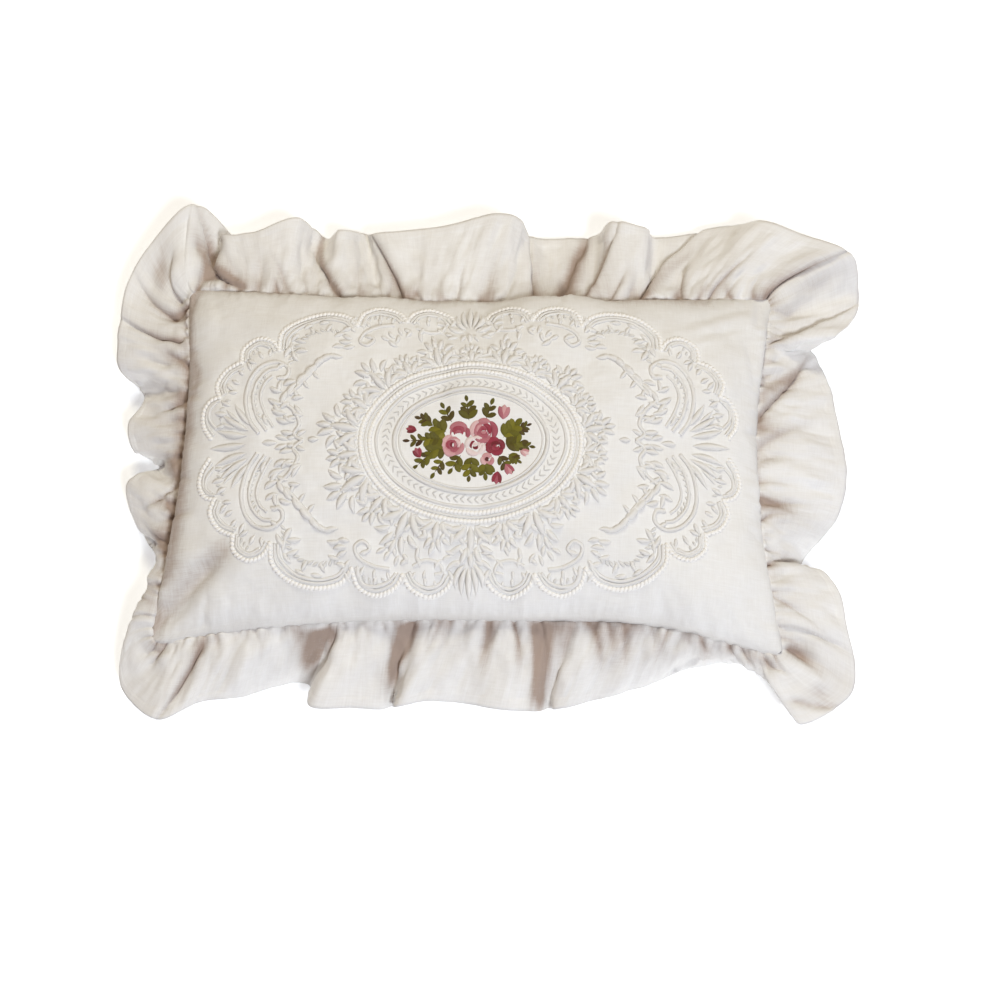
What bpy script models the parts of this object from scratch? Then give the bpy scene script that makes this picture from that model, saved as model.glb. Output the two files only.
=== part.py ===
"""Ruffled cushion cover, filled, lying on its back.

The cover is a front and a back panel sewn edge to edge round a soft filling, with one long
gathered ruffle caught in the seam. Two solids: the filled cushion and the ruffle.
Metres, +Z up, +X to the right and +Y to the top of the cover as one looks down at its face.
The origin is the middle of the flat patch that the cushion rests on.
"""

import math

import bpy
import numpy as np

# Panels: the four seam corners in plan, and how far the middle of each side is drawn in.
CORNERS = {
    "top_left": (-0.236, 0.151),
    "top_right": (0.252, 0.143),
    "bottom_right": (0.246, -0.164),
    "bottom_left": (-0.251, -0.153),
}
SIDES = ("top", "right", "bottom", "left")
SIDE_ENDS = {
    "top": ("top_left", "top_right"),
    "right": ("top_right", "bottom_right"),
    "bottom": ("bottom_right", "bottom_left"),
    "left": ("bottom_left", "top_left"),
}
DRAWN_IN = {"top": 0.014, "right": 0.020, "bottom": 0.024, "left": 0.014}
CORNER_ROUND = 0.016  # how far from a corner its rounding starts

# Filling: heights above the surface the cushion lies on.
SEAM_HEIGHT = 0.046
EAR_DROOP = 0.010  # the corners hang this much lower than the sides
CROWN = 0.059  # the face above the seam, at the middle
BACK_DEPTH = 0.066  # the back below the seam, if nothing held it up
SIDE_FULLNESS = 2.4  # how squarely the filling fills the panels
EDGE_FULLNESS = 0.52  # how steeply the panels rise from the seam
REST_SPREAD = 1.16  # how far the back's flat patch spreads beyond where it first touches

# Seam: a narrow upright edge where the panels and the ruffle's gathered root meet.
SEAM_EDGE = 0.0022
SEWN_GAP = 0.0004

# Ruffle cloth.
RUFFLE_THICKNESS = 0.0020
RUFFLE_LEAD = 0.018  # how far out of the seam the cloth heads before it turns to its hem
RUFFLE_ROWS = (0.0, 0.10, 0.24, 0.44, 0.70, 1.0)  # shares of the way from the root to the hem
RUFFLE_COLUMN = 0.0086  # how far apart the ruffle's columns are at the hem
GATHER_PITCH = 0.0235
GATHER_HEIGHT = 0.0034
GATHER_REACH = 0.20  # where between root and hem the gathers stand highest
GATHER_DRIFTS = ((0.8, 0.273, 0.0), (0.5, 0.103, 1.0))  # how far, over what length and from where they wander
PROBE = 0.001  # step for measuring a slope or a direction

# Stations round the seam.
LONG_SIDE_STEPS = 30
SHORT_SIDE_STEPS = 18
CORNER_STEPS = 4

# Sections of the face from the middle out to the seam. Each is an oval of half-width `across`
# and half-height `along` that turns into the seam's outline by `square`, with `lobes` scallops
# of `lobe_depth`, and the corded embroidery stands `raised` above the cloth there.
FACE_SECTIONS = [
    dict(name="bouquet field", across=0.030, along=0.020, square=0.0),
    dict(name="oval foot", across=0.0570, along=0.0392, square=0.0),
    dict(name="oval cord", across=0.0595, along=0.0417, square=0.0, raised=0.0013),
    dict(name="oval outer foot", across=0.0620, along=0.0442, square=0.0),
    dict(name="medallion foot", across=0.0805, along=0.0590, square=0.0),
    dict(name="medallion cord", across=0.0845, along=0.0630, square=0.0, raised=0.0018),
    dict(name="medallion outer foot", across=0.0885, along=0.0670, square=0.0),
    dict(name="leaf rim", across=0.0980, along=0.0770, square=0.0, raised=0.0012, lobes=28, lobe_depth=0.004),
    dict(name="leaf tips", across=0.1090, along=0.0880, square=0.0, lobes=28, lobe_depth=0.010),
    dict(name="plain field", across=0.1350, along=0.0980, square=0.10),
    dict(name="scroll foot", across=0.1560, along=0.1040, square=0.16, lobes=16, lobe_depth=0.006),
    dict(name="scroll crest", across=0.1660, along=0.1090, square=0.20, raised=0.0012, lobes=16, lobe_depth=0.006),
    dict(name="scroll valley", across=0.1800, along=0.1140, square=0.22, lobes=16, lobe_depth=0.006),
    dict(name="scallop foot", across=0.1930, along=0.1180, square=0.24, lobes=16, lobe_depth=0.009),
    dict(name="scallop cord", across=0.1980, along=0.1210, square=0.24, raised=0.0016, lobes=16, lobe_depth=0.009),
    dict(name="scallop outer foot", across=0.2030, along=0.1240, square=0.24, lobes=16, lobe_depth=0.009),
]
# Shares of the seam's outline at which the panels' steep edges are cut, from the inside out.
FACE_EDGE_SHARES = (0.955, 0.983, 0.996)
BACK_SHARES = (0.996, 0.983, 0.95, 0.90, 0.83, 0.74, 0.62, 0.46)

# The ruffle's folds, clockwise from the top left corner as seen from above, a row for each
# crest, trough or turn of the hem. `at` is the share of the side's seam where the fold is
# gathered in, `over` and `out` carry it along +X and +Y from there to the hem, `high` is the
# hem's height, and `belly` lifts the cloth halfway between the two.
FOLD_COLUMNS = ("at", "over", "out", "high", "belly")
TOP_FOLDS = [
    (0.00, -0.004, 0.078, 0.046, 0.002),  # peak at the corner
    (0.03, 0.012, 0.060, 0.016, 0.000),
    (0.05, -0.003, 0.053, 0.038, 0.000),  # stands over the fold before it
    (0.09, -0.012, 0.051, 0.044, 0.002),
    (0.12, -0.006, 0.056, 0.044, 0.002),
    (0.16, 0.009, 0.071, 0.044, 0.002),
    (0.21, 0.006, 0.069, 0.012, 0.000),  # deep pleat
    (0.24, 0.005, 0.065, 0.038, 0.002),
    (0.28, -0.003, 0.069, 0.032, 0.000),
    (0.32, -0.012, 0.076, 0.014, 0.000),
    (0.36, -0.019, 0.065, 0.040, 0.002),
    (0.41, 0.009, 0.070, 0.044, 0.004),  # broad lobe
    (0.48, 0.020, 0.081, 0.048, 0.004),
    (0.54, 0.013, 0.081, 0.040, 0.002),
    (0.59, 0.000, 0.077, 0.014, 0.000),
    (0.64, 0.001, 0.077, 0.010, 0.000),  # lies low
    (0.69, 0.006, 0.075, 0.018, 0.000),
    (0.73, 0.000, 0.074, 0.046, 0.002),  # tube-like fold
    (0.78, 0.003, 0.068, 0.044, 0.002),
    (0.80, 0.008, 0.073, 0.014, 0.000),
    (0.86, 0.041, 0.081, 0.018, 0.002),
    (0.90, 0.046, 0.070, 0.046, 0.004),  # sweeps over the corner
    (0.95, 0.052, 0.055, 0.048, 0.004),
]
RIGHT_FOLDS = [
    (0.00, 0.068, 0.037, 0.052, 0.004),
    (0.04, 0.078, 0.028, 0.024, 0.000),
    (0.08, 0.075, 0.014, 0.028, 0.000),
    (0.12, 0.056, 0.001, 0.043, 0.000),  # rolled end of the corner fold
    (0.16, 0.045, 0.018, 0.012, 0.000),
    (0.21, 0.052, 0.021, 0.010, 0.000),
    (0.27, 0.062, 0.013, 0.018, 0.002),
    (0.36, 0.069, 0.002, 0.026, 0.004),  # broad lobe
    (0.46, 0.074, -0.002, 0.030, 0.004),
    (0.55, 0.073, 0.000, 0.026, 0.004),
    (0.62, 0.063, -0.003, 0.022, 0.002),
    (0.68, 0.046, -0.002, 0.014, 0.000),
    (0.73, 0.034, -0.003, 0.008, 0.000),  # notch
    (0.78, 0.046, 0.005, 0.026, 0.000),
    (0.83, 0.056, -0.002, 0.034, 0.002),
    (0.89, 0.057, -0.014, 0.034, 0.002),
    (0.95, 0.059, -0.019, 0.028, 0.002),
]
BOTTOM_FOLDS = [
    (0.00, 0.054, -0.032, 0.028, 0.000),  # hanging corner
    (0.02, 0.025, -0.052, 0.030, 0.000),
    (0.04, 0.026, -0.028, 0.010, 0.000),
    (0.08, 0.014, -0.006, 0.006, 0.000),
    (0.13, -0.004, -0.012, 0.005, 0.000),  # hangs straight down
    (0.18, -0.012, -0.028, 0.006, 0.000),
    (0.24, -0.021, -0.044, 0.015, 0.000),
    (0.32, -0.017, -0.059, 0.022, 0.000),
    (0.35, -0.009, -0.057, 0.008, 0.000),  # deep pleat
    (0.38, -0.010, -0.063, 0.024, 0.002),
    (0.43, -0.013, -0.064, 0.030, 0.002),
    (0.48, -0.015, -0.059, 0.022, 0.002),
    (0.53, -0.017, -0.059, 0.028, 0.002),
    (0.57, -0.020, -0.064, 0.030, 0.000),
    (0.60, -0.009, -0.059, 0.008, 0.000),  # deep pleat
    (0.63, -0.005, -0.064, 0.022, 0.000),
    (0.67, -0.006, -0.063, 0.028, 0.002),
    (0.70, -0.022, -0.062, 0.030, 0.000),
    (0.72, -0.018, -0.040, 0.006, 0.000),  # notch
    (0.77, -0.012, -0.037, 0.008, 0.000),
    (0.83, -0.012, -0.047, 0.022, 0.002),
    (0.89, -0.017, -0.050, 0.030, 0.002),
    (0.95, -0.018, -0.060, 0.034, 0.000),  # corner ridge
]
LEFT_FOLDS = [
    (0.00, -0.025, -0.034, 0.020, 0.000),
    (0.04, -0.024, -0.012, 0.028, 0.002),
    (0.10, -0.014, 0.005, 0.026, 0.002),
    (0.17, -0.007, 0.014, 0.010, 0.000),  # notch
    (0.22, -0.010, 0.012, 0.007, 0.000),
    (0.28, -0.032, 0.015, 0.018, 0.000),
    (0.35, -0.045, 0.023, 0.026, 0.002),
    (0.40, -0.038, 0.021, 0.030, 0.000),
    (0.45, -0.025, 0.017, 0.012, 0.000),  # notch
    (0.49, -0.029, 0.013, 0.008, 0.000),
    (0.54, -0.046, 0.003, 0.024, 0.000),
    (0.59, -0.051, 0.008, 0.028, 0.002),
    (0.65, -0.042, 0.012, 0.020, 0.000),
    (0.69, -0.047, 0.016, 0.008, 0.000),  # notch
    (0.74, -0.062, 0.014, 0.022, 0.000),
    (0.81, -0.063, 0.016, 0.030, 0.002),
    (0.87, -0.060, 0.020, 0.032, -0.004),
    (0.93, -0.055, 0.030, 0.034, -0.006),
    (0.97, -0.038, 0.050, 0.038, -0.006),
]

CREAM_COTTON = (0.83, 0.80, 0.74, 1.0)


def parabola(a, b, bow):
    """Height over a straight line from a to b, bowed by `bow` at its middle, as a function."""

    def at(x):
        share = (x - a[0]) / (b[0] - a[0])
        return a[1] + (b[1] - a[1]) * share + 4 * bow * share * (1 - share)

    return at


def side_curves():
    """The seam's four sides: y of x for the top and bottom, x of y for the right and left."""
    flipped = {name: (y, x) for name, (x, y) in CORNERS.items()}
    return {
        "top": parabola(CORNERS["top_left"], CORNERS["top_right"], -DRAWN_IN["top"]),
        "bottom": parabola(CORNERS["bottom_left"], CORNERS["bottom_right"], DRAWN_IN["bottom"]),
        "right": parabola(flipped["bottom_right"], flipped["top_right"], -DRAWN_IN["right"]),
        "left": parabola(flipped["bottom_left"], flipped["top_left"], DRAWN_IN["left"]),
    }


def side_points(side, steps):
    """Plan points along one side of the seam, clockwise, clear of its rounded corners."""
    first, last = (CORNERS[name] for name in SIDE_ENDS[side])
    runs_across = side in ("top", "bottom")
    axis = 0 if runs_across else 1
    inset = math.copysign(CORNER_ROUND, last[axis] - first[axis])
    along = np.linspace(first[axis] + inset, last[axis] - inset, steps + 1)
    off = side_curves()[side](along)
    return np.column_stack([along, off] if runs_across else [off, along])


def rounded_corner(start, corner, end, steps):
    """Plan points that carry the seam round a corner, without the two ends."""
    share = np.linspace(0, 1, steps + 1)[1:-1, None]
    return start * (1 - share) ** 2 + 2 * np.array(corner) * share * (1 - share) + end * share**2


def seam_outline(long_steps, short_steps, corner_steps):
    """The seam's closed outline in plan, clockwise, and the index of each corner's middle."""
    sides = [side_points(s, long_steps if s in ("top", "bottom") else short_steps) for s in SIDES]
    points, middles = [], []
    for number, side in enumerate(SIDES):
        following = sides[(number + 1) % len(SIDES)]
        corner = CORNERS[SIDE_ENDS[side][1]]
        points += [sides[number], rounded_corner(sides[number][-1], corner, following[0], corner_steps)]
        middles.append(sum(map(len, points)) - corner_steps // 2)
    return np.vstack(points), middles


def panel_shares(plan):
    """Where plan points lie between the left and right, and the bottom and top seams, from -1 to 1."""
    curves = side_curves()
    x, y = plan[:, 0], plan[:, 1]
    left, right = curves["left"](y), curves["right"](y)
    bottom, top = curves["bottom"](x), curves["top"](x)
    return (2 * x - left - right) / (right - left), (2 * y - bottom - top) / (top - bottom)


def seam_height(plan):
    """Height of the seam's level at plan points: the corners droop like ears."""
    s, t = panel_shares(plan)
    return SEAM_HEIGHT - EAR_DROOP * (np.clip(np.abs(s), 0, 1) * np.clip(np.abs(t), 0, 1)) ** 4


def filling(plan):
    """How far the filling lifts a panel at plan points, from 0 at the seam to 1 at the middle."""
    s, t = (np.clip(np.abs(share), 0, 1) for share in panel_shares(plan))
    return ((1 - s**SIDE_FULLNESS) * (1 - t**SIDE_FULLNESS)) ** EDGE_FULLNESS


def face_height(plan):
    return seam_height(plan) + CROWN * filling(plan)


def back_height(plan):
    """The back bulges below the seam and flattens on the surface that it lies on."""
    sunk = BACK_DEPTH * filling(plan) / SEAM_HEIGHT
    pressed = 1 - np.clip(1 - sunk / REST_SPREAD, 0, 1) ** REST_SPREAD
    return seam_height(plan) * (1 - pressed)


def raised_from_face(plan, height):
    """Points that stand `height` off the face, square to it."""
    z = face_height(plan)
    slope_x = (face_height(plan + [PROBE, 0]) - z) / PROBE
    slope_y = (face_height(plan + [0, PROBE]) - z) / PROBE
    normal = np.column_stack([-slope_x, -slope_y, np.ones(len(plan))])
    normal /= np.linalg.norm(normal, axis=1)[:, None]
    return np.column_stack([plan, z]) + normal * height


def face_section(outline, across, along, square, raised=0.0, lobes=0, lobe_depth=0.0, name=""):
    """One ring of the face: an oval that turns into the seam's outline, scalloped by its lobes."""
    s, t = panel_shares(outline)
    angle = np.arctan2(t, s)
    scallop = 1 + lobe_depth / across * (np.abs(np.cos(lobes * angle / 2)) - 0.6) if lobes else 1
    oval = np.column_stack([across * np.cos(angle), along * np.sin(angle)])
    reach = np.linalg.norm(oval, axis=1) / np.linalg.norm(outline, axis=1)
    plan = (oval * (1 - square) + outline * reach[:, None] * square) * np.reshape(scallop, (-1, 1))
    return raised_from_face(plan, raised)


def loft(name, rings, first_middle, last_middle):
    """A closed mesh through rings of equally many points, with a fan at either end."""
    count = len(rings[0])
    points = np.vstack([first_middle, *rings, last_middle])
    last = len(points) - 1
    faces = []
    for i in range(count):
        j = (i + 1) % count
        faces.append((0, 1 + j, 1 + i))
        for ring in range(len(rings) - 1):
            a, b = 1 + ring * count, 1 + (ring + 1) * count
            faces.append((a + i, a + j, b + j, b + i))
        end = 1 + (len(rings) - 1) * count
        faces.append((end + i, end + j, last))
    mesh = bpy.data.meshes.new(name)
    mesh.from_pydata([tuple(point) for point in points.tolist()], [], faces)
    return mesh


def cushion(material):
    """The two panels over their filling: face, narrow sewn edge and back, as one solid."""
    outline, _ = seam_outline(LONG_SIDE_STEPS, SHORT_SIDE_STEPS, CORNER_STEPS)
    level = seam_height(outline)
    rings = [face_section(outline, **section) for section in FACE_SECTIONS]
    rings += [np.column_stack([outline * share, face_height(outline * share)]) for share in FACE_EDGE_SHARES]
    rings += [np.column_stack([outline, level + side * SEAM_EDGE / 2]) for side in (1, -1)]
    rings += [np.column_stack([outline * share, back_height(outline * share)]) for share in BACK_SHARES]
    middle = np.zeros((1, 2))
    face_middle, back_middle = (np.column_stack([middle, height(middle)]) for height in (face_height, back_height))
    mesh = loft("cushion", rings, face_middle, back_middle)
    return add_object("cushion", mesh, material)


def seam_track():
    """The seam as a fine closed line with its running length, and where along it each side starts."""
    points, middles = seam_outline(200, 120, 40)
    steps = np.linalg.norm(np.roll(points, -1, axis=0) - points, axis=1)
    lengths = np.concatenate([[0], np.cumsum(steps)])
    ends = [lengths[index] for index in middles]
    starts = [ends[-1] - lengths[-1], *ends[:-1]]
    return points, lengths, dict(zip(SIDES, zip(starts, ends)))


def along_seam(track, at):
    """Plan points and outward directions at running lengths `at` round the seam."""
    points, lengths, _ = track
    around = np.mod(at, lengths[-1])
    closed = np.vstack([points, points[:1]])

    def place(length):
        return np.column_stack([np.interp(np.mod(length, lengths[-1]), lengths, closed[:, k]) for k in (0, 1)])

    travel = place(around + 3 * PROBE) - place(around - 3 * PROBE)
    travel /= np.linalg.norm(travel, axis=1)[:, None]
    return place(around), np.column_stack([-travel[:, 1], travel[:, 0]])


def catmull_rom(values, share):
    """A smooth closed curve through rows of values, at fractional row numbers `share`."""
    row = np.floor(share).astype(int)
    f = (share - row)[:, None]
    p0, p1, p2, p3 = (values[(row + k) % len(values)] for k in (-1, 0, 1, 2))
    return p1 + 0.5 * f * (p2 - p0 + f * (2 * p0 - 5 * p1 + 4 * p2 - p3 + f * (3 * (p1 - p2) + p3 - p0)))


def fold_table(track):
    """The folds' places on the seam, as running lengths, and their hem points and bellies."""
    places, hems = [], []
    for side, folds in zip(SIDES, (TOP_FOLDS, RIGHT_FOLDS, BOTTOM_FOLDS, LEFT_FOLDS)):
        start, end = track[2][side]
        for row in folds:
            fold = dict(zip(FOLD_COLUMNS, row))
            places.append(start + (end - start) * fold["at"])
            root = along_seam(track, np.array(places[-1:]))[0][0]
            hems.append([root[0] + fold["over"], root[1] + fold["out"], fold["high"], fold["belly"]])
    return np.array(places), np.array(hems)


def ruffle_columns(places, hems, length):
    """Fractional fold numbers, evenly spaced along the hem, and their places on the seam."""
    numbers, at = [], []
    for fold in range(len(places)):
        here, there = hems[fold], hems[(fold + 1) % len(hems)]
        steps = max(2, round(np.linalg.norm(there[:3] - here[:3]) / RUFFLE_COLUMN))
        share = np.arange(steps) / steps
        onward = places[(fold + 1) % len(places)] + (length if fold + 1 == len(places) else 0)
        numbers += list(fold + share)
        at += list(places[fold] + (onward - places[fold]) * share)
    return np.array(numbers), np.array(at)


def gathers(at, share):
    """Small pleats that rise from the gathered root and fade towards the hem."""
    turn = 2 * math.pi * at
    uneven = sum(far * np.sin(turn / length + start) for far, length, start in GATHER_DRIFTS)
    wave = np.sin(turn / GATHER_PITCH + uneven)
    swell = share / GATHER_REACH * math.exp(1 - share / GATHER_REACH)
    return GATHER_HEIGHT * swell**1.5 * wave


def ruffle(material):
    """The gathered strip as a sheet from its root in the seam out to its hem, then thickened."""
    track = seam_track()
    places, hems = fold_table(track)
    numbers, at = ruffle_columns(places, hems, track[1][-1])
    root, outward = along_seam(track, at)
    hem = catmull_rom(hems, numbers)
    level = seam_height(root)
    start = np.column_stack([root + outward * SEWN_GAP, level])
    turn = start + np.column_stack([outward * RUFFLE_LEAD, 2 * hem[:, 3]])
    rows = [start]
    for share in RUFFLE_ROWS[1:]:
        rows.append(start * (1 - share) ** 2 + 2 * turn * share * (1 - share) + hem[:, :3] * share**2)
        rows[-1][:, 2] += gathers(at, share)
    rows.insert(1, start + np.column_stack([outward * SEAM_EDGE, 0 * level]))
    count = len(at)
    faces = [
        (r * count + i, r * count + (i + 1) % count, (r + 1) * count + (i + 1) % count, (r + 1) * count + i)
        for r in range(len(rows) - 1)
        for i in range(count)
    ]
    mesh = bpy.data.meshes.new("ruffle")
    mesh.from_pydata([tuple(point) for point in np.vstack(rows).tolist()], [], faces)
    made = add_object("ruffle", mesh, material)
    cloth = made.modifiers.new("cloth thickness", "SOLIDIFY")
    cloth.thickness = RUFFLE_THICKNESS
    cloth.offset = 0
    return made


def add_object(name, mesh, material):
    mesh.materials.append(material)
    mesh.shade_smooth()
    made = bpy.data.objects.new(name, mesh)
    bpy.context.scene.collection.objects.link(made)
    return made


def cotton(name, colour):
    """Plain woven cotton."""
    material = bpy.data.materials.new(name)
    material.use_nodes = True
    shader = material.node_tree.nodes["Principled BSDF"]
    shader.inputs["Base Color"].default_value = colour
    shader.inputs["Roughness"].default_value = 0.9
    shader.inputs["Metallic"].default_value = 0.0
    return material


def main():
    for leftover in list(bpy.data.objects):
        bpy.data.objects.remove(leftover)
    cushion(cotton("panel cotton", CREAM_COTTON))
    ruffle(cotton("ruffle cotton", CREAM_COTTON))


main()
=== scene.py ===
import math

import bpy
import numpy as np
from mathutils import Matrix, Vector


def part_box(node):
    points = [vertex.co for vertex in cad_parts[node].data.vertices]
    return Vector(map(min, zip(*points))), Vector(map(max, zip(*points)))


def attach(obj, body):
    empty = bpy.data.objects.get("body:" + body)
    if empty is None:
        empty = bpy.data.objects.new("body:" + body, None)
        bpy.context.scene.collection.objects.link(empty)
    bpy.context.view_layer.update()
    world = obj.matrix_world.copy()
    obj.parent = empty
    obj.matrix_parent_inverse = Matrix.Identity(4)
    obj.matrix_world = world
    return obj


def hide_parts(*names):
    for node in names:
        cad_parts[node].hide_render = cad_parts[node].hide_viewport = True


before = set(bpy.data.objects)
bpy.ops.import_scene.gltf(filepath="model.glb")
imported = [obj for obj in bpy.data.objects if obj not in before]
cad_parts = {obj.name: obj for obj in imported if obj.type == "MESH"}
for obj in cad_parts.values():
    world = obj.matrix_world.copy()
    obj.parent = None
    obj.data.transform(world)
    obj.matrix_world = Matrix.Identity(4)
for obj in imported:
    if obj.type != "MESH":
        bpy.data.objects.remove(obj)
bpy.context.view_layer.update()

# A filled cushion cover, lying on its back: two cotton panels sewn edge to edge, a gathered ruffle
# caught in the seam, raised cord embroidery on the face and a bouquet of roses at its middle.
# +X runs to the right as one looks down at the face, +Y to its top edge.

cushionTop = float(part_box("cushion")[1][2])

panelValues = {
    "corners": {"topLeft": (-0.236, 0.151), "topRight": (0.252, 0.143),
                "bottomRight": (0.246, -0.164), "bottomLeft": (-0.251, -0.153)},
    "drawnIn": {"top": 0.014, "right": 0.020, "bottom": 0.024, "left": 0.014},
    "nip": (0.135, 0.075, 0.008),  # where the lower seam is drawn in further: middle, half width, depth
    "cornerCut": (0.016, 0.026),  # how much of the half length and half width a corner's rounding takes
    "cornerSharpness": (45, 27),
    "seamHeight": 0.046,
    "earDroop": 0.010,
    "backDepth": 0.066,
    "sideFullness": 2.4,
    "edgeFullness": 0.52,
    "restSpread": 1.16,
    "firstGuess": (0.24, 0.15),  # half length and half width that the plan is worked out from
    "rowsAcross": 125,
    "rowsAlong": 78,
}
panelValues["crown"] = cushionTop - panelValues["seamHeight"]


def bowedLine(a, b, bow):
    # height over the straight line from a to b, bowed by `bow` at its middle
    def at(x):
        share = (x - a[0]) / (b[0] - a[0])
        return a[1] + (b[1] - a[1]) * share + 4 * bow * share * (1 - share)

    return at


def seamSides():
    corners, drawnIn = panelValues["corners"], panelValues["drawnIn"]
    middle, half, depth = panelValues["nip"]
    lower = bowedLine(corners["bottomLeft"], corners["bottomRight"], drawnIn["bottom"])
    turned = {name: (y, x) for name, (x, y) in corners.items()}
    return {
        "top": bowedLine(corners["topLeft"], corners["topRight"], -drawnIn["top"]),
        "bottom": lambda x: lower(x) + depth * np.exp(-(((x - middle) / half) ** 2)),
        "right": bowedLine(turned["bottomRight"], turned["topRight"], -drawnIn["right"]),
        "left": bowedLine(turned["bottomLeft"], turned["topLeft"], drawnIn["left"]),
    }


sides = seamSides()


def planFromShares(s, t):
    # from shares between opposite seams, -1 to 1, to the plan; the two depend on each other
    x, y = (share * guess for share, guess in zip((s, t), panelValues["firstGuess"]))
    for _ in range(8):
        left, right, bottom, top = sides["left"](y), sides["right"](y), sides["bottom"](x), sides["top"](x)
        x, y = (left + right) / 2 + s * (right - left) / 2, (bottom + top) / 2 + t * (top - bottom) / 2
    return x, y


def roundedShares(u, v):
    # a square of shares with its corners rounded off
    cut, sharp = panelValues["cornerCut"], panelValues["cornerSharpness"]
    return u * (1 - cut[0] * np.abs(v) ** sharp[1]), v * (1 - cut[1] * np.abs(u) ** sharp[0])


def seamLevel(s, t):
    spread = np.clip(np.abs(s), 0, 1) * np.clip(np.abs(t), 0, 1)
    return panelValues["seamHeight"] - panelValues["earDroop"] * spread**4


def fillingLift(s, t):
    full = panelValues["sideFullness"]
    s, t = np.clip(np.abs(s), 0, 1), np.clip(np.abs(t), 0, 1)
    return ((1 - s**full) * (1 - t**full)) ** panelValues["edgeFullness"]


def faceLevel(s, t):
    return seamLevel(s, t) + panelValues["crown"] * fillingLift(s, t)


def backLevel(s, t):
    sunk = panelValues["backDepth"] * fillingLift(s, t) / panelValues["seamHeight"]
    spread = panelValues["restSpread"]
    return seamLevel(s, t) * np.clip(1 - sunk / spread, 0, 1) ** spread


def seamRun(steps):
    # the seam as a closed line, clockwise from the top left corner, with its running length
    q = np.linspace(-1, 1, steps, endpoint=False)
    one = np.ones(steps)
    u, v = np.concatenate([q, one, -q, -one]), np.concatenate([one, -q, -one, q])
    s, t = roundedShares(u, v)
    x, y = planFromShares(s, t)
    points = np.column_stack([x, y, seamLevel(s, t)])
    lengths = np.concatenate([[0], np.cumsum(np.linalg.norm(np.roll(points, -1, axis=0) - points, axis=1))])
    corners = dict(zip(("top", "right", "bottom", "left"), lengths[[0, steps, 2 * steps, 3 * steps]]))
    return points, lengths, corners


seamPoints, seamLengths, sideStarts = seamRun(400)
seamLength = seamLengths[-1]


def alongSeam(at):
    # places on the seam and outward directions, at running lengths
    closed = np.vstack([seamPoints, seamPoints[:1]])

    def place(where):
        where = np.mod(where, seamLength)
        return np.column_stack([np.interp(where, seamLengths, closed[:, k]) for k in range(3)])

    travel = place(at + 0.003) - place(at - 0.003)
    outward = np.column_stack([-travel[:, 1], travel[:, 0], 0 * at])
    return place(at), outward / np.linalg.norm(outward, axis=1)[:, None]


def seamPlace(side, share):
    # the running length of a share of one side
    order = ("top", "right", "bottom", "left")
    nextSide = order[(order.index(side) + 1) % 4]
    start = sideStarts[side]
    end = sideStarts[nextSide] if nextSide != "top" else seamLength
    return start + (end - start) * share


def linked(name, data):
    made = bpy.data.objects.new(name, data)
    bpy.context.scene.collection.objects.link(made)
    return made


def paint(mesh, label, values):
    # a number at every point, for the material or a tree to read
    layer = mesh.attributes.new(label, "FLOAT", "POINT")
    layer.data.foreach_set("value", values.astype(np.float32).ravel())


def quads(index, flipped=False):
    # the faces between the rows of a grid of point numbers
    turn = (0, 3, 2, 1) if flipped else (0, 1, 2, 3)
    corners = (index[:-1, :-1], index[:-1, 1:], index[1:, 1:], index[1:, :-1])
    return np.stack([corners[k].ravel() for k in turn], axis=1).tolist()


def newObject(name, points, faces, uv=None, uvName="cloth"):
    mesh = bpy.data.meshes.new(name)
    mesh.from_pydata([tuple(p) for p in points.tolist()], [], faces)
    if uv is not None:
        layer = mesh.uv_layers.new(name=uvName)
        loops = np.zeros(len(mesh.loops), dtype=int)
        mesh.loops.foreach_get("vertex_index", loops)
        layer.data.foreach_set("uv", uv[loops].astype(np.float32).ravel())
    mesh.shade_smooth()
    return linked(name, mesh)


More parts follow.
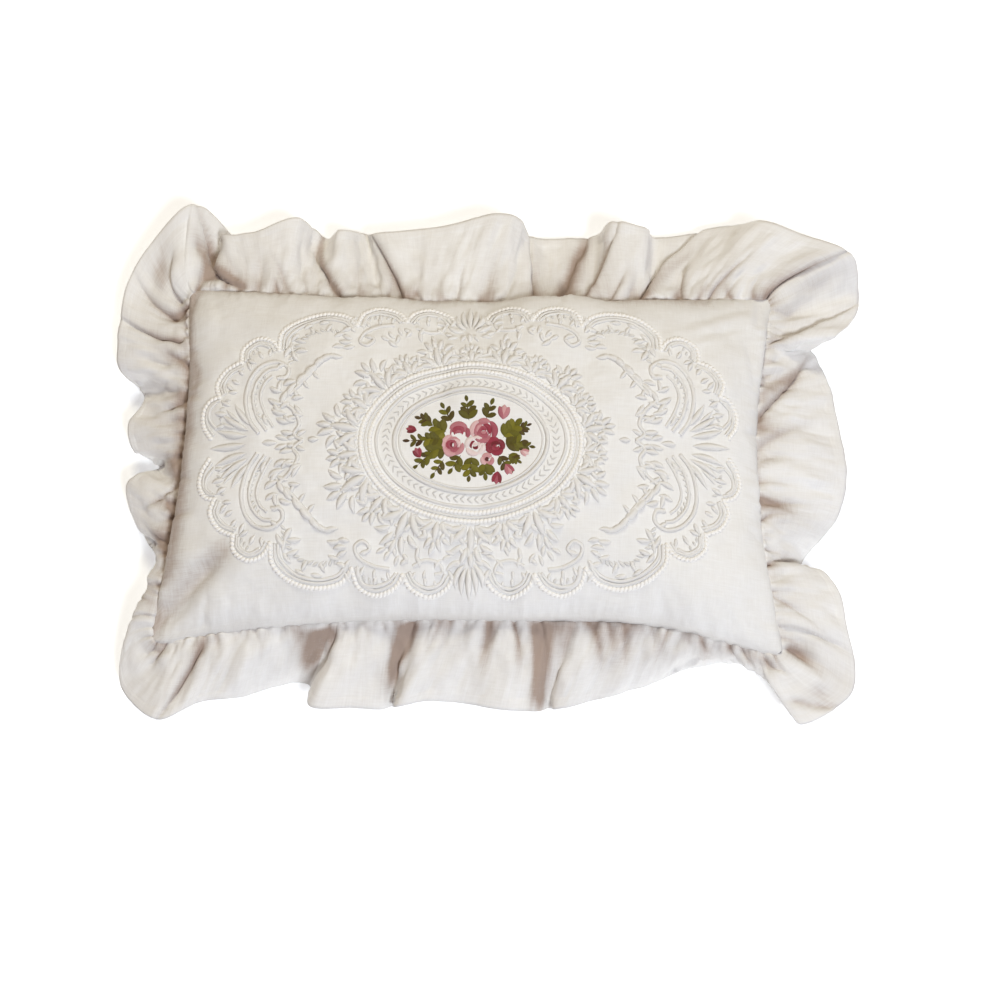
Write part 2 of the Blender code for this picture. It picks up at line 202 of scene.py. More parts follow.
# The ruffle's folds, clockwise from the top left corner: the share of the side where each is gathered in,
# then in millimetres along +X and +Y from there to the hem, the hem's height, and how far the cloth is
# lifted halfway. They are the solid's, but ten at the left of the lower side run 1 to 8 mm further out.
ruffleFolds = {
    "top": [
        (0, -4, 78, 46, 2), (0.03, 12, 60, 16, 0), (0.05, -3, 53, 38, 0), (0.09, -12, 51, 44, 2),
        (0.12, -6, 56, 44, 2), (0.16, 9, 71, 44, 2), (0.21, 6, 69, 12, 0), (0.24, 5, 65, 38, 2),
        (0.28, -3, 69, 32, 0), (0.32, -12, 76, 14, 0), (0.36, -19, 65, 40, 2), (0.41, 9, 70, 44, 4),
        (0.48, 20, 81, 48, 4), (0.54, 13, 81, 40, 2), (0.59, 0, 77, 14, 0), (0.64, 1, 77, 10, 0),
        (0.69, 6, 75, 18, 0), (0.73, 0, 74, 46, 2), (0.78, 3, 68, 44, 2), (0.8, 8, 73, 14, 0),
        (0.86, 41, 81, 18, 2), (0.9, 46, 70, 46, 4), (0.95, 52, 55, 48, 4),
    ],
    "right": [
        (0, 68, 37, 52, 4), (0.04, 78, 28, 24, 0), (0.08, 75, 14, 28, 0), (0.12, 56, 1, 43, 0),
        (0.16, 45, 18, 12, 0), (0.21, 52, 21, 10, 0), (0.27, 62, 13, 18, 2), (0.36, 69, 2, 26, 4),
        (0.46, 74, -2, 30, 4), (0.55, 73, 0, 26, 4), (0.62, 63, -3, 22, 2), (0.68, 46, -2, 14, 0),
        (0.73, 34, -3, 8, 0), (0.78, 46, 5, 26, 0), (0.83, 56, -2, 34, 2), (0.89, 57, -14, 34, 2),
        (0.95, 59, -19, 28, 2),
    ],
    "bottom": [
        (0, 54, -32, 28, 0), (0.02, 25, -53, 30, 0), (0.04, 26, -30, 10, 0), (0.08, 14, -9, 6, 0),
        (0.13, -4, -17.5, 5, 0), (0.18, -12, -35, 6, 0), (0.24, -21, -52, 15, 0), (0.32, -17, -64, 22, 0),
        (0.35, -9, -61, 8, 0), (0.38, -10, -66, 24, 2), (0.43, -13, -65, 30, 2), (0.48, -15, -59, 22, 2),
        (0.53, -17, -59, 28, 2), (0.57, -20, -64, 30, 0), (0.6, -9, -59, 8, 0), (0.63, -5, -64, 22, 0),
        (0.67, -6, -63, 28, 2), (0.7, -22, -62, 30, 0), (0.72, -18, -40, 6, 0), (0.77, -12, -37, 8, 0),
        (0.83, -12, -47, 22, 2), (0.89, -17, -50, 30, 2), (0.95, -18, -60, 34, 0),
    ],
    "left": [
        (0, -25, -34, 20, 0), (0.04, -24, -12, 28, 2), (0.1, -14, 5, 26, 2), (0.17, -7, 14, 10, 0),
        (0.22, -10, 12, 7, 0), (0.28, -32, 15, 18, 0), (0.35, -45, 23, 26, 2), (0.4, -38, 21, 30, 0),
        (0.45, -25, 17, 12, 0), (0.49, -29, 13, 8, 0), (0.54, -46, 3, 24, 0), (0.59, -51, 8, 28, 2),
        (0.65, -42, 12, 20, 0), (0.69, -47, 16, 8, 0), (0.74, -62, 14, 22, 0), (0.81, -63, 16, 30, 2),
        (0.87, -60, 20, 32, -4), (0.93, -55, 30, 34, -6), (0.97, -38, 50, 38, -6),
    ],
}
# Creases on the ruffle, each from a place on the seam side's share to another, between two shares of
# the way to the hem. Depth, width, ridge and lean are in millimetres: the trough's depth and half
# width, how high its ridge stands (on the clockwise side if positive) and how far that leans over it.
ruffleCreases = [
    # side, at, endAt, start, end, depth, width, ridge, lean, bow if not straight
    ("top", 0.125, 0, 0.1, 1.1, 7, 4.5, 6, 3.5, 0.35), ("top", 0.99, 0.994, 0, 1.1, 6, 4, -6, 3),
    ("top", 0.155, 0.14, 0, 0.35, 3, 2.6, 1.5, 0), ("right", 0.151, 0.05, 0.04, 1.08, 4, 4.5, 6, 2),
    ("right", 0.2, 0.192, 0, 0.4, 2.5, 2.6, 1.5, 0), ("bottom", 0.064, 0.047, 0, 0.45, 4.5, 3, 2.5, 1),
    ("bottom", 0.083, 0.071, 0, 0.5, 4, 3, 2, 1), ("bottom", 0.134, 0.111, 0, 0.4, 2.5, 3, 1.5, 0),
    ("bottom", 0.255, 0.226, 0, 0.8, 3.5, 3.5, 2, 0.5), ("bottom", 0.329, 0.346, 0, 0.9, 3, 4.5, 2, 0),
    ("left", 0.951, 0.915, 0, 0.45, 5, 4, 1.5, 0), ("top", 0.176, 0.13, 0, 0.75, 3, 3.5, 1.5, 0),
    ("top", 0.204, 0.172, 0, 0.85, 3, 3.2, 1.2, 0.5), ("top", 0.268, 0.176, 0, 1.1, 5, 4.5, 4, 3),
    ("top", 0.293, 0.287, 0, 0.4, 2.5, 2.5, 1.5, 0), ("top", 0.332, 0.329, 0, 0.35, 2.5, 2.5, 1.5, 0),
    ("top", 0.374, 0.346, 0, 1.1, 6, 5, 4, 3), ("top", 0.403, 0.385, 0, 0.3, 3, 2.5, 1.5, 0),
    ("top", 0.462, 0.458, 0, 0.65, 3, 2.4, 1, 0), ("top", 0.51, 0.51, 0, 0.8, 2.5, 3.5, 1, 0),
    ("top", 0.538, 0.566, 0, 0.8, 2.5, 3.5, 1, 0), ("top", 0.59, 0.582, 0, 1.1, 5, 3, -4, 2),
    ("top", 0.638, 0.682, 0, 1.1, 5, 4.5, 3, 2), ("top", 0.676, 0.748, 0, 1.1, 5, 4, 5, 3),
    ("top", 0.721, 0.756, 0, 0.6, 4, 3, 2, 1), ("top", 0.753, 0.76, 0, 0.35, 2.5, 2.4, 1, 0),
    ("top", 0.775, 0.84, 0, 1.1, 6, 5, 6, 5), ("top", 0.846, 0.836, 0, 0.75, 4, 3.2, 1.5, 0.5),
    ("top", 0.89, 0.925, 0, 0.8, 3.5, 3, 1.5, 0.5), ("top", 0.918, 0.935, 0, 0.45, 3, 3, 1.5, 0),
    ("right", 0.24, 0.228, 0, 0.3, 3, 2.5, 2, 0), ("right", 0.365, 0.175, 0, 1, 6, 6, -3, 2),
    ("right", 0.453, 0.35, 0, 0.85, 4, 5.5, -1.5, 0), ("right", 0.493, 0.455, 0, 0.5, 3, 3, 1.5, 0),
    ("right", 0.542, 0.54, 0, 0.6, 3, 3, 1.5, 0), ("right", 0.605, 0.586, 0, 0.85, 3.5, 3.2, 1.5, 0),
    ("right", 0.65, 0.622, 0, 0.3, 3, 2.8, 1.5, 0), ("right", 0.77, 0.715, 0, 1, 4, 5, 2, 1),
    ("right", 0.845, 0.918, 0, 0.75, 3.5, 3, 1.5, 0), ("right", 0.926, 0.935, 0, 1.05, 3, 3.5, -4, 1),
    ("right", 0.985, 0.996, 0.1, 0.75, 5, 4, 3, 1), ("bottom", 0.026, 0.004, 0.1, 0.45, 4, 3, 2, 0.5),
    ("bottom", 0.016, 0.002, 0.7, 1.1, 5, 6, 0, 0), ("bottom", 0.31, 0.255, 0, 0.85, 3, 3.5, 2, 0),
    ("bottom", 0.28, 0.262, 0, 0.45, 2.5, 3, 1.5, 0), ("bottom", 0.384, 0.352, 0, 1.1, 4, 4.5, -2.5, 1),
    ("bottom", 0.43, 0.402, 0, 0.7, 4.5, 2.8, 1.5, 1), ("bottom", 0.463, 0.47, 0, 0.75, 3, 3.5, 1, 0),
    ("bottom", 0.521, 0.534, 0, 0.6, 2.5, 3, 1, 0), ("bottom", 0.54, 0.558, 0, 0.7, 3, 3, 1.5, 0),
    ("bottom", 0.58, 0.612, 0, 1.1, 3, 5.5, -2, 0.5),
    ("bottom", 0.704, 0.718, 0.05, 1.1, 4, 6, -2.5, 0.5),
    ("bottom", 0.916, 0.956, 0.1, 1.1, 5, 3.5, 4, 2), ("bottom", 0.978, 0.992, 0, 0.5, 4, 2.6, 2, 1),
    ("bottom", 0.994, 0.999, 0, 0.4, 4, 2.6, 2, 1), ("left", 0.255, 0.298, 0, 0.8, 4, 4.5, 1.5, 0.5),
    ("left", 0.33, 0.385, 0, 0.35, 3, 4, 2, 0), ("left", 0.436, 0.318, 0.05, 0.75, 4.5, 3.2, 1.5, 1),
    ("left", 0.515, 0.47, 0, 0.4, 4, 4.5, 1.5, 0), ("left", 0.672, 0.62, 0, 0.75, 4, 3.2, 2, 0.5),
    ("left", 0.765, 0.805, 0, 0.45, 3.5, 3, 2, 0), ("left", 0.766, 0.778, 0.35, 0.85, 2.5, 2.6, 1, 0),
    ("left", 0.838, 0.868, 0.1, 1.05, 6, 4, 6, 4), ("left", 0.915, 0.945, 0.25, 1, 5, 4, 2, 1),
    ("left", 0.965, 0.985, 0.2, 0.75, 5, 4, 2, 0.5),
]
# Swells and hollows in the ruffle: where, how far along (in millimetres) and out (in shares) they
# fade, and how high they stand.
ruffleSwells = [
    # side, at, share, along, out, height
    ("top", 0.52, 0.12, 230, 0.18, 4.5), ("left", 0.989, 0.5, 13, 0.17, 5),
    ("left", 0.965, 0.8, 20, 0.09, -4), ("top", 0.012, 0.66, 12, 0.05, -3),
    ("left", 0.95, 0.24, 9, 0.14, -4), ("top", 0.02, 0.28, 12, 0.1, -3.5),
    ("right", 0.013, 0.66, 11, 0.26, -7), ("right", 0.05, 0.34, 8, 0.16, -4),
    ("right", 0.985, 0.36, 9, 0.14, -4.5), ("right", 0.944, 0.62, 10, 0.12, 2.5),
    ("bottom", 0.004, 0.84, 9, 0.12, -4), ("bottom", 0.023, 0.28, 7, 0.1, -3.5),
    ("bottom", 0.992, 0.2, 3.5, 0.07, -3), ("bottom", 0.975, 0.3, 6, 0.1, 2),
    ("bottom", 0.245, 0, 46, 0.05, -8), ("bottom", 0.355, 0, 12, 0.05, -6),
    ("left", 0.7, 0.02, 15, 0.08, -7), ("left", 0.59, 0.02, 16, 0.09, -7),
    ("left", 0.46, 0.02, 20, 0.12, -8), ("left", 0.33, 0.02, 22, 0.12, -8),
    ("left", 0.24, 0.02, 14, 0.1, -5),
]
# Warm shade painted into the cloth's colour deep between the folds, laid like the creases: half width in
# millimetres, strength.
ruffleShades = [
    # side, at, endAt, start, end, half width, strength
    ("bottom", 0.733, 0.742, 0.1, 0.9, 8.5, 1.15), ("bottom", 0.59, 0.62, 0.06, 0.95, 8, 1.45),
    ("bottom", 0.386, 0.368, 0.08, 1.15, 6.8, 1.45), ("bottom", 0.43, 0.405, 0.04, 0.85, 3.2, 0.55),
    ("bottom", 0.468, 0.455, 0.02, 0.95, 5.5, 0.4), ("bottom", 0.496, 0.512, 0.02, 0.85, 6, 0.4),
    ("bottom", 0.343, 0.35, 0.02, 0.65, 9, 0.4), ("bottom", 0.25, 0.215, 0.02, 0.9, 42, 0.14),
    ("bottom", 0.3, 0.275, 0.02, 0.75, 5, 0.35), ("bottom", 0.922, 0.952, 0.02, 1.1, 4, 0.25),
    ("bottom", 0.003, 0.006, 0.66, 1, 7, 0.4), ("bottom", 0.026, 0.012, 0.1, 0.6, 6, 0.15),
    ("top", 0.1, 0.004, 0.06, 0.8, 6, 0.85), ("top", 0.262, 0.179, 0.04, 1.35, 4, 0.9),
    ("top", 0.375, 0.346, 0.04, 1.15, 6, 0.35), ("top", 0.59, 0.608, 0.04, 1.05, 5.5, 0.3),
    ("top", 0.64, 0.681, 0.04, 1.15, 8, 0.95), ("top", 0.683, 0.73, 0.04, 1.1, 3.8, 0.45),
    ("top", 0.79, 0.85, 0.04, 1, 5, 0.45), ("top", 0.9, 0.925, 0.02, 0.8, 9, 0.3),
    ("right", 0.3, 0.189, 0.02, 0.95, 5.5, 0.5), ("right", 0.392, 0.376, 0, 0.5, 10, 0.35),
    ("right", 0.61, 0.586, 0, 0.6, 7, 0.2), ("right", 0.999, 0.962, 0.1, 0.7, 9, 0.2),
    ("left", 0.546, 0.58, 0.02, 0.95, 17, 0.32), ("left", 0.466, 0.49, 0.02, 0.7, 12, 0.55),
    ("left", 0.76, 0.81, 0, 0.7, 10, 0.5), ("left", 0.24, 0.29, 0, 0.6, 14, 0.45),
    ("left", 0.66, 0.68, 0, 0.6, 9, 0.45), ("left", 0.965, 0.985, 0.55, 1.1, 12, 0.55),
    ("left", 0.93, 0.93, 0, 0.16, 30, 0.8), ("left", 0.5, 0.5, 0, 0.3, 105, 0.55),
    ("top", 0.03, 0, 0.22, 0.9, 7, 0.8),
]
# Gathers: pleats at chance places, a row for each size. Lengths in millimetres.
ruffleGathers = [
    # head is how far a pleat stands up where it is caught in the seam
    {"pitch": 6.4, "depth": 2.1, "width": 1.9, "reach": 10.0, "head": 1.0, "seed": 4},
    {"pitch": 14.0, "depth": 3.0, "width": 2.8, "reach": 22.0, "head": 0.6, "seed": 9},
    {"pitch": 31.0, "depth": 2.8, "width": 5.0, "reach": 50.0, "head": 0.0, "seed": 15},
]
ruffleValues = {
    "tuckedIn": 0.0016,
    "lead": 0.018,
    "columnStep": 0.0018,
    "rows": 25,
    "clothThickness": 0.0009,
    "crumples": [(30.0, 1.0, 41), (13.0, 0.5, 42), (6.5, 0.10, 43)],  # size in millimetres, height, seed
    "hemFrom": 0.915,  # share of the way out where the turned hem begins
    "hemRise": 0.22,
    "hemDip": 0.14,  # how far the cloth dips along the hem's stitches
    "deepest": 7.0,  # millimetres down at which a point takes its full painted shade
    "weaveRun": (1.5, 0.07),  # cloth to a metre of seam, and from seam to hem
    "crumpleRun": (1350, 430),  # how the crumples' waves are laid along and out
}


def foldHems():
    places, hems = [], []
    for side, folds in ruffleFolds.items():
        for at, over, out, high, belly in folds:
            places.append(seamPlace(side, at))
            root = alongSeam(np.array(places[-1:]))[0][0]
            hems.append([root[0] + over / 1000, root[1] + out / 1000, high / 1000, belly / 1000])
    return np.array(places), np.array(hems)


def curveBetween(p0, p1, p2, p3, f):
    # a share f of the way from p1 to p2, on a smooth curve through all four
    return p1 + 0.5 * f * (p2 - p0 + f * (2 * p0 - 5 * p1 + 4 * p2 - p3 + f * (3 * (p1 - p2) + p3 - p0)))


def throughPoints(values, share):
    # a smooth closed curve through rows of values, at fractional row numbers
    row = np.floor(share).astype(int)
    f = (share - row)[:, None]
    return curveBetween(*(values[(row + k) % len(values)] for k in (-1, 0, 1, 2)), f)


def ruffleColumns(places, hems):
    numbers, at = [], []
    for fold in range(len(places)):
        here, there = hems[fold], hems[(fold + 1) % len(hems)]
        steps = max(2, round(np.linalg.norm(there[:3] - here[:3]) / ruffleValues["columnStep"]))
        share = np.arange(steps) / steps
        onward = places[(fold + 1) % len(places)] + (seamLength if fold + 1 == len(places) else 0)
        numbers += list(fold + share)
        at += list(places[fold] + (onward - places[fold]) * share)
    return np.array(numbers), np.array(at)


def ruffleSheet():
    places, hems = foldHems()
    numbers, at = ruffleColumns(places, hems)
    root, outward = alongSeam(at)
    hem = throughPoints(hems, numbers)
    start = root - outward * ruffleValues["tuckedIn"]
    turn = start + outward * ruffleValues["lead"]
    turn[:, 2] += 2 * hem[:, 3]
    hemFrom = ruffleValues["hemFrom"]
    share = np.concatenate([[0.0, 0.012, 0.026, 0.042, 0.062],
                            np.linspace(0.088, hemFrom - 0.024, ruffleValues["rows"] - 5),
                            hemFrom + np.array([-0.012, 0.0, 0.008, 0.02, 0.04, 0.06, 1.0 - hemFrom])])
    share = share[:, None, None]
    sheet = start * (1 - share) ** 2 + 2 * turn * share * (1 - share) + hem[:, :3] * share**2
    return sheet, at, share[:, 0, 0]


def sheetAxes(sheet):
    # unit directions on the cloth: along the seam, and up out of it
    travel = np.roll(sheet, -1, axis=1) - np.roll(sheet, 1, axis=1)
    fall = np.gradient(sheet, axis=0)
    up = np.cross(fall, travel)
    return tuple(v / np.maximum(np.linalg.norm(v, axis=2, keepdims=True), 1e-9) for v in (travel, up))


def lumps(x, y, size, seed):
    # a smooth uneven field about one high and low, made of crossing waves
    chance = np.random.default_rng(seed)
    field = np.zeros_like(x)
    for _ in range(26):
        turn, phase = chance.uniform(0, math.tau), chance.uniform(0, math.tau)
        scale = chance.uniform(0.65, 1.7)
        field += np.cos((x * math.cos(turn) + y * math.sin(turn)) * math.tau * scale / size + phase)
    return field / 3.6


class Relief:
    # what is pressed into the folded cloth, in millimetres: up, along the seam, and how much shade is painted
    # into its colour
    def __init__(self, sheet, at, share):
        self.at, self.share = at, share[:, None]
        width = np.linalg.norm(np.roll(sheet, -1, axis=1) - sheet, axis=2)
        self.stretch = width / np.mod(np.roll(at, -1) - at, seamLength)[None, :]
        self.length = np.linalg.norm(np.diff(sheet, axis=0), axis=2).sum(axis=0)[None, :]
        self.lift, self.slide, self.sunk = (np.zeros(sheet.shape[:2]) for _ in range(3))

    def offCentre(self, centre):
        # how far along the cloth each point is from a place on the seam
        around = np.mod(self.at[None, :] - centre + seamLength / 2, seamLength) - seamLength / 2
        return around * self.stretch * 1000

    def offLine(self, side, begin, finish, way, bow=1.0):
        # the same from a line that runs between two shares of a side on its way to the hem
        first, last = seamPlace(side, begin), seamPlace(side, finish)
        return self.offCentre(first + (last - first) * np.clip(way, 0, 1.2) ** bow)


def pressCreases(relief):
    for side, begin, finish, start, end, depth, half, ridge, lean, *bow in ruffleCreases:
        way = (relief.share - start) / (end - start)
        off = relief.offLine(side, begin, finish, way, *bow)
        fromSeam = start < 0.02
        rise = np.clip((relief.share - start) / 0.08 + 0.35 if fromSeam else way / 0.15, 0, 1)
        fade = rise * np.clip((1.02 - way) / 0.45, 0, 1) ** 0.8 * (way > -0.2)
        hand = math.copysign(1.0, ridge)
        beyond = np.clip(off * hand, 0, None) / half
        crest = np.exp(-beyond / 2.4) * (1 - np.exp(-beyond / 0.45))
        trough = np.exp(-np.abs(off / half) ** np.where(off * hand > 0, 1.6, 1.0))
        relief.lift += fade * (abs(ridge) * 1.35 * crest - depth * trough)
        # the trough's depth also paints shade into the cloth's colour
        relief.sunk += fade * depth * trough
        relief.slide -= fade * hand * lean * np.exp(-((off - hand * 0.9 * half) / half) ** 2)


def pressSwells(relief):
    for side, place, out, along, fadeOut, height in ruffleSwells:
        off = relief.offCentre(seamPlace(side, place)) / along
        swell = height * np.exp(-(off**2) - ((relief.share - out) / fadeOut) ** 2)
        swell = swell * np.clip(relief.share / 0.03, 0, 1)
        relief.lift += swell
        # a dent's depth also paints shade into the cloth's colour
        relief.sunk += 0.35 * np.clip(-swell, 0, None)


def layShades(relief):
    share = relief.share
    for side, begin, finish, start, end, half, strength in ruffleShades:
        off = relief.offLine(side, begin, finish, (share - start) / (end - start))
        fade = np.clip((share - start) / 0.12 + 0.2, 0, 1) * np.clip((end - share) / 0.3, 0, 1)
        # painted shade only, along each row; the shape stays as it is
        relief.sunk += ruffleValues["deepest"] * strength * fade * np.exp(-((off / half) ** 2))


def pressGathers(relief):
    # pleats fade to the hem; near a corner their heads stand no higher than the cloth
    corners = np.array([seamPlace(side, 0.0) for side in sideStarts])[:, None]
    around = np.mod(relief.at - corners + seamLength / 2, seamLength) - seamLength / 2
    headroom = np.clip(np.abs(around).min(axis=0) * 1000 / 16 - 0.5, 0, 1)[None, :]
    away = relief.share * relief.length * 1000
    for gathers in ruffleGathers:
        chance = np.random.default_rng(gathers["seed"])
        number = round(seamLength * 1000 / gathers["pitch"])
        head = gathers["head"] * headroom * np.clip(away / 2.0, 0, 1)
        for place in (np.arange(number) + chance.uniform(-0.38, 0.38, number)) / number:
            reach = gathers["reach"] * chance.uniform(0.55, 1.5)
            half = gathers["width"] * chance.uniform(0.7, 1.35)
            depth = gathers["depth"] * chance.uniform(0.35, 1.5)
            drift = chance.uniform(-0.35, 0.35)
            spread = half * (1 + 0.5 * away / reach)
            q = np.abs((relief.offCentre(place * seamLength) - drift * away) / spread)
            fade = np.clip(away / (0.35 * reach) + 0.45, 0, 1) * np.exp(-((away / reach) ** 2))
            trough = np.exp(-(q**1.25))
            relief.lift += depth * fade * (0.75 * np.exp(-((q / 2.1) ** 2)) - trough)
            relief.lift += head * np.exp(-(((q - 2.2) / 1.1) ** 2) - (away / 5.0) ** 2)
            # each pleat's trough also paints shade into the cloth's colour
            relief.sunk += depth * fade * trough


def pressCrumples(relief):
    share, (along, out) = relief.share, ruffleValues["crumpleRun"]
    settled = np.clip(share / 0.1, 0, 1) * np.clip((1 - share) / 0.1, 0.3, 1)
    for size, height, seed in ruffleValues["crumples"]:
        field = lumps(relief.at[None, :] * along + 0 * share, share * relief.length * out, size, seed)
        relief.lift += height * settled * field


def turnHem(relief):
    hem = relief.share - ruffleValues["hemFrom"]
    relief.lift += ruffleValues["hemRise"] * np.clip(hem / 0.01, 0, 1)
    relief.lift -= ruffleValues["hemDip"] * np.exp(-((hem + 0.004) / 0.006) ** 2)


def creased(sheet, at, share):
    # the folded cloth with everything pressed into it, and the shade painted into its colour at each point
    relief = Relief(sheet, at, share)
    for press in (pressCreases, pressSwells, layShades, pressGathers, pressCrumples, turnHem):
        press(relief)
    travel, up = sheetAxes(sheet)
    up = up * np.where(up[..., 2:] < -0.2, -1.0, 1.0)
    moved = sheet + (up * relief.lift[..., None] + travel * relief.slide[..., None]) / 1000
    # painted shade along the seam, where the ruffle is caught in
    atSeam = 0.12 * np.clip(1 - relief.share / 0.05, 0, 1)
    return moved, np.clip(relief.sunk / ruffleValues["deepest"] + atSeam, 0, 1.15)


def makeRuffle():
    sheet, at, share = ruffleSheet()
    sheet, sunk = creased(sheet, at, share)
    rows, columns = sheet.shape[:2]
    index = np.arange(rows * columns).reshape(rows, columns)
    along, out = ruffleValues["weaveRun"]
    uv = np.stack(np.broadcast_arrays(at * along, share[:, None] * out), axis=-1).reshape(-1, 2)
    made = newObject("ruffleCloth", sheet.reshape(-1, 3), quads(np.hstack([index, index[:, :1]])), uv)
    # the painted shade, for the cloth's material to read
    paint(made.data, "sunk", sunk)
    print("ruffle columns", columns, "rows", rows)
    return made


print("ruffle: folding the cloth")
ruffle = makeRuffle()

# The panel's own small shapes: puckers along its seams, drags and creases, and the filling's lumps.
# A crease runs from x, y to endX, endY in millimetres; a ridge stands on its right as it goes.
panelCreases = [
    # x, y, endX, endY, depth, width, ridge
    (-229, 143, -243, 115, 2.6, 4, 1.6), (-240, 144, -246, 126, 1.4, 2.6, 0.6),
    (-196, -92, -246, -137, 7.5, 8, 1.9), (-216, -121, -238, -142, 1.6, 4, 1),
    (105, -115, 107, -132, 0.4, 3.4, 0.3), (128, -116, 130, -133, 0.5, 3.2, 0.3),
    (145, -113, 149, -134, 0.6, 3.4, 0.4), (158, -118, 163, -135, 0.4, 3, 0.3),
    (176, -114, 181, -139, 0.7, 3.6, 0.4), (204, -118, 222, -150, 0.9, 3.4, 0.6),
    (213, -112, 231, -143, 0.8, 3.6, 0.6), (197, -130, 212, -153, 0.7, 2.8, 0.4),
    (188, -122, 199, -146, 0.6, 3, 0.4), (224, 88, 226, 50, 1.2, 3.4, 0.8),
    (174, 106, 226, 126, 1.4, 4.6, 0.8), (178, 91, 215, 105, 1.1, 4.2, 0.7),
    (239, 138, 232, 106, 1.3, 3.4, 0.9), (-236, 94, -220, 84, 1.2, 2.8, 0.7),
    (-228, 50, -213, 43, 1.2, 2.8, 0.7), (-236, -18, -217, -25, 1.3, 3, 0.7),
    (-237, -52, -216, -52, 1.2, 3.2, 0.8), (-202, -120, -207, -142, 1.1, 2.8, 0.7),
    (-183, -120, -187, -139, 1, 2.8, 0.6), (-106, -122, -103, -134, 0.4, 3, 0.3),
    (-211, 134, -200, 110, 1.2, 4, 0.6), (240, 20, 219, 14, 1.2, 3, 0.7),
    (238, -40, 214, -36, 1.2, 3.4, 0.7), (242, -78, 218, -68, 1.2, 3, 0.8),
]
# Warm shade painted into the panel's colour along lines: x, y, endX, endY in millimetres, half width,
# strength.
panelShades = [
    (-190, -86, -250, -140, 13.0, 0.80), (-236, 148, -231, 60, 12.0, 1.05), (-231, 60, -238, -90, 15.0, 1.60),
    (-225, 147, -150, 140, 8.0, 0.35), (-60, 135, 190, 131, 9.0, 0.40), (-180, 138, 180, 132, 46.0, 0.20),
]
panelPuckers = {"pitch": 8.5, "depth": 0.75, "width": 2.2, "reach": 10.0, "seed": 21}
panelLumps = [
    # size across in millimetres, height, seed
    (150.0, 1.5, 5), (62.0, 0.8, 6), (27.0, 0.26, 8), (11.0, 0.10, 9),
]


def panelRelief(x, y, sideSteps):
    # how far the cloth stands off the plain filled shape, in millimetres; x and y in millimetres
    lift = np.zeros_like(x)
    for size, height, seed in panelLumps:
        lift += height * lumps(x, y, size, seed)
    for x0, y0, x1, y1, depth, half, ridge in panelCreases:
        length = math.hypot(x1 - x0, y1 - y0)
        dx, dy = (x1 - x0) / length, (y1 - y0) / length
        way = ((x - x0) * dx + (y - y0) * dy) / length
        off = (x - x0) * dy - (y - y0) * dx
        fade = np.exp(-np.clip(np.abs(way - 0.5) - 0.28, 0, None) ** 2 / 0.06)
        beside = np.exp(-((off - 1.8 * half) / (1.2 * half)) ** 2)
        lift += fade * (ridge * beside - depth * np.exp(-(off / half) ** 2))
    chance = np.random.default_rng(panelPuckers["seed"])
    for away, run, total in sideSteps:
        for k in range(round(total / panelPuckers["pitch"])):
            place = (k + 0.5 + chance.uniform(-0.4, 0.4)) * panelPuckers["pitch"]
            reach = panelPuckers["reach"] * chance.uniform(0.5, 1.7)
            half = panelPuckers["width"] * chance.uniform(0.7, 1.3)
            off = (run - place - chance.uniform(-0.3, 0.3) * away) / (half * (1 + 0.4 * away / reach))
            lift += panelPuckers["depth"] * chance.uniform(0.3, 1.5) * (1 - 1.3 * off**2) * np.exp(
                -(off**2) - (away / reach) ** 2)
    return lift


def gridUp(grid):
    up = np.cross(np.gradient(grid, axis=1), np.gradient(grid, axis=0))
    return up / np.maximum(np.linalg.norm(up, axis=2, keepdims=True), 1e-12)


def clothLengths(grid):
    # lengths along the cloth from its middle, across and along: the panel's own UV in metres
    runs = []
    for axis in (1, 0):
        steps = np.linalg.norm(np.diff(grid, axis=axis), axis=2)
        start = np.zeros_like(np.take(steps, [0], axis))
        run = np.cumsum(np.concatenate([start, steps], axis=axis), axis=axis)
        runs.append(run - np.take(run, [run.shape[axis] // 2], axis))
    return np.stack(runs, axis=-1)


def panelShade(x, y, nearest):
    # painted shade for the panel's colour, along the rows of panelShades and close to the seam: x, y and the
    # distance to the nearest seam in millimetres
    shade = np.zeros_like(x)
    for x0, y0, x1, y1, half, strength in panelShades:
        way = np.array([x1 - x0, y1 - y0])
        share = np.clip(((x - x0) * way[0] + (y - y0) * way[1]) / (way @ way), 0, 1)
        off = np.hypot(x - x0 - share * way[0], y - y0 - share * way[1])
        shade += strength * np.exp(-((off / half) ** 2))
    # and painted shade close to every seam, where the ruffle shades the panel
    return shade + 0.3 * np.exp(-((nearest / 5.0) ** 2))


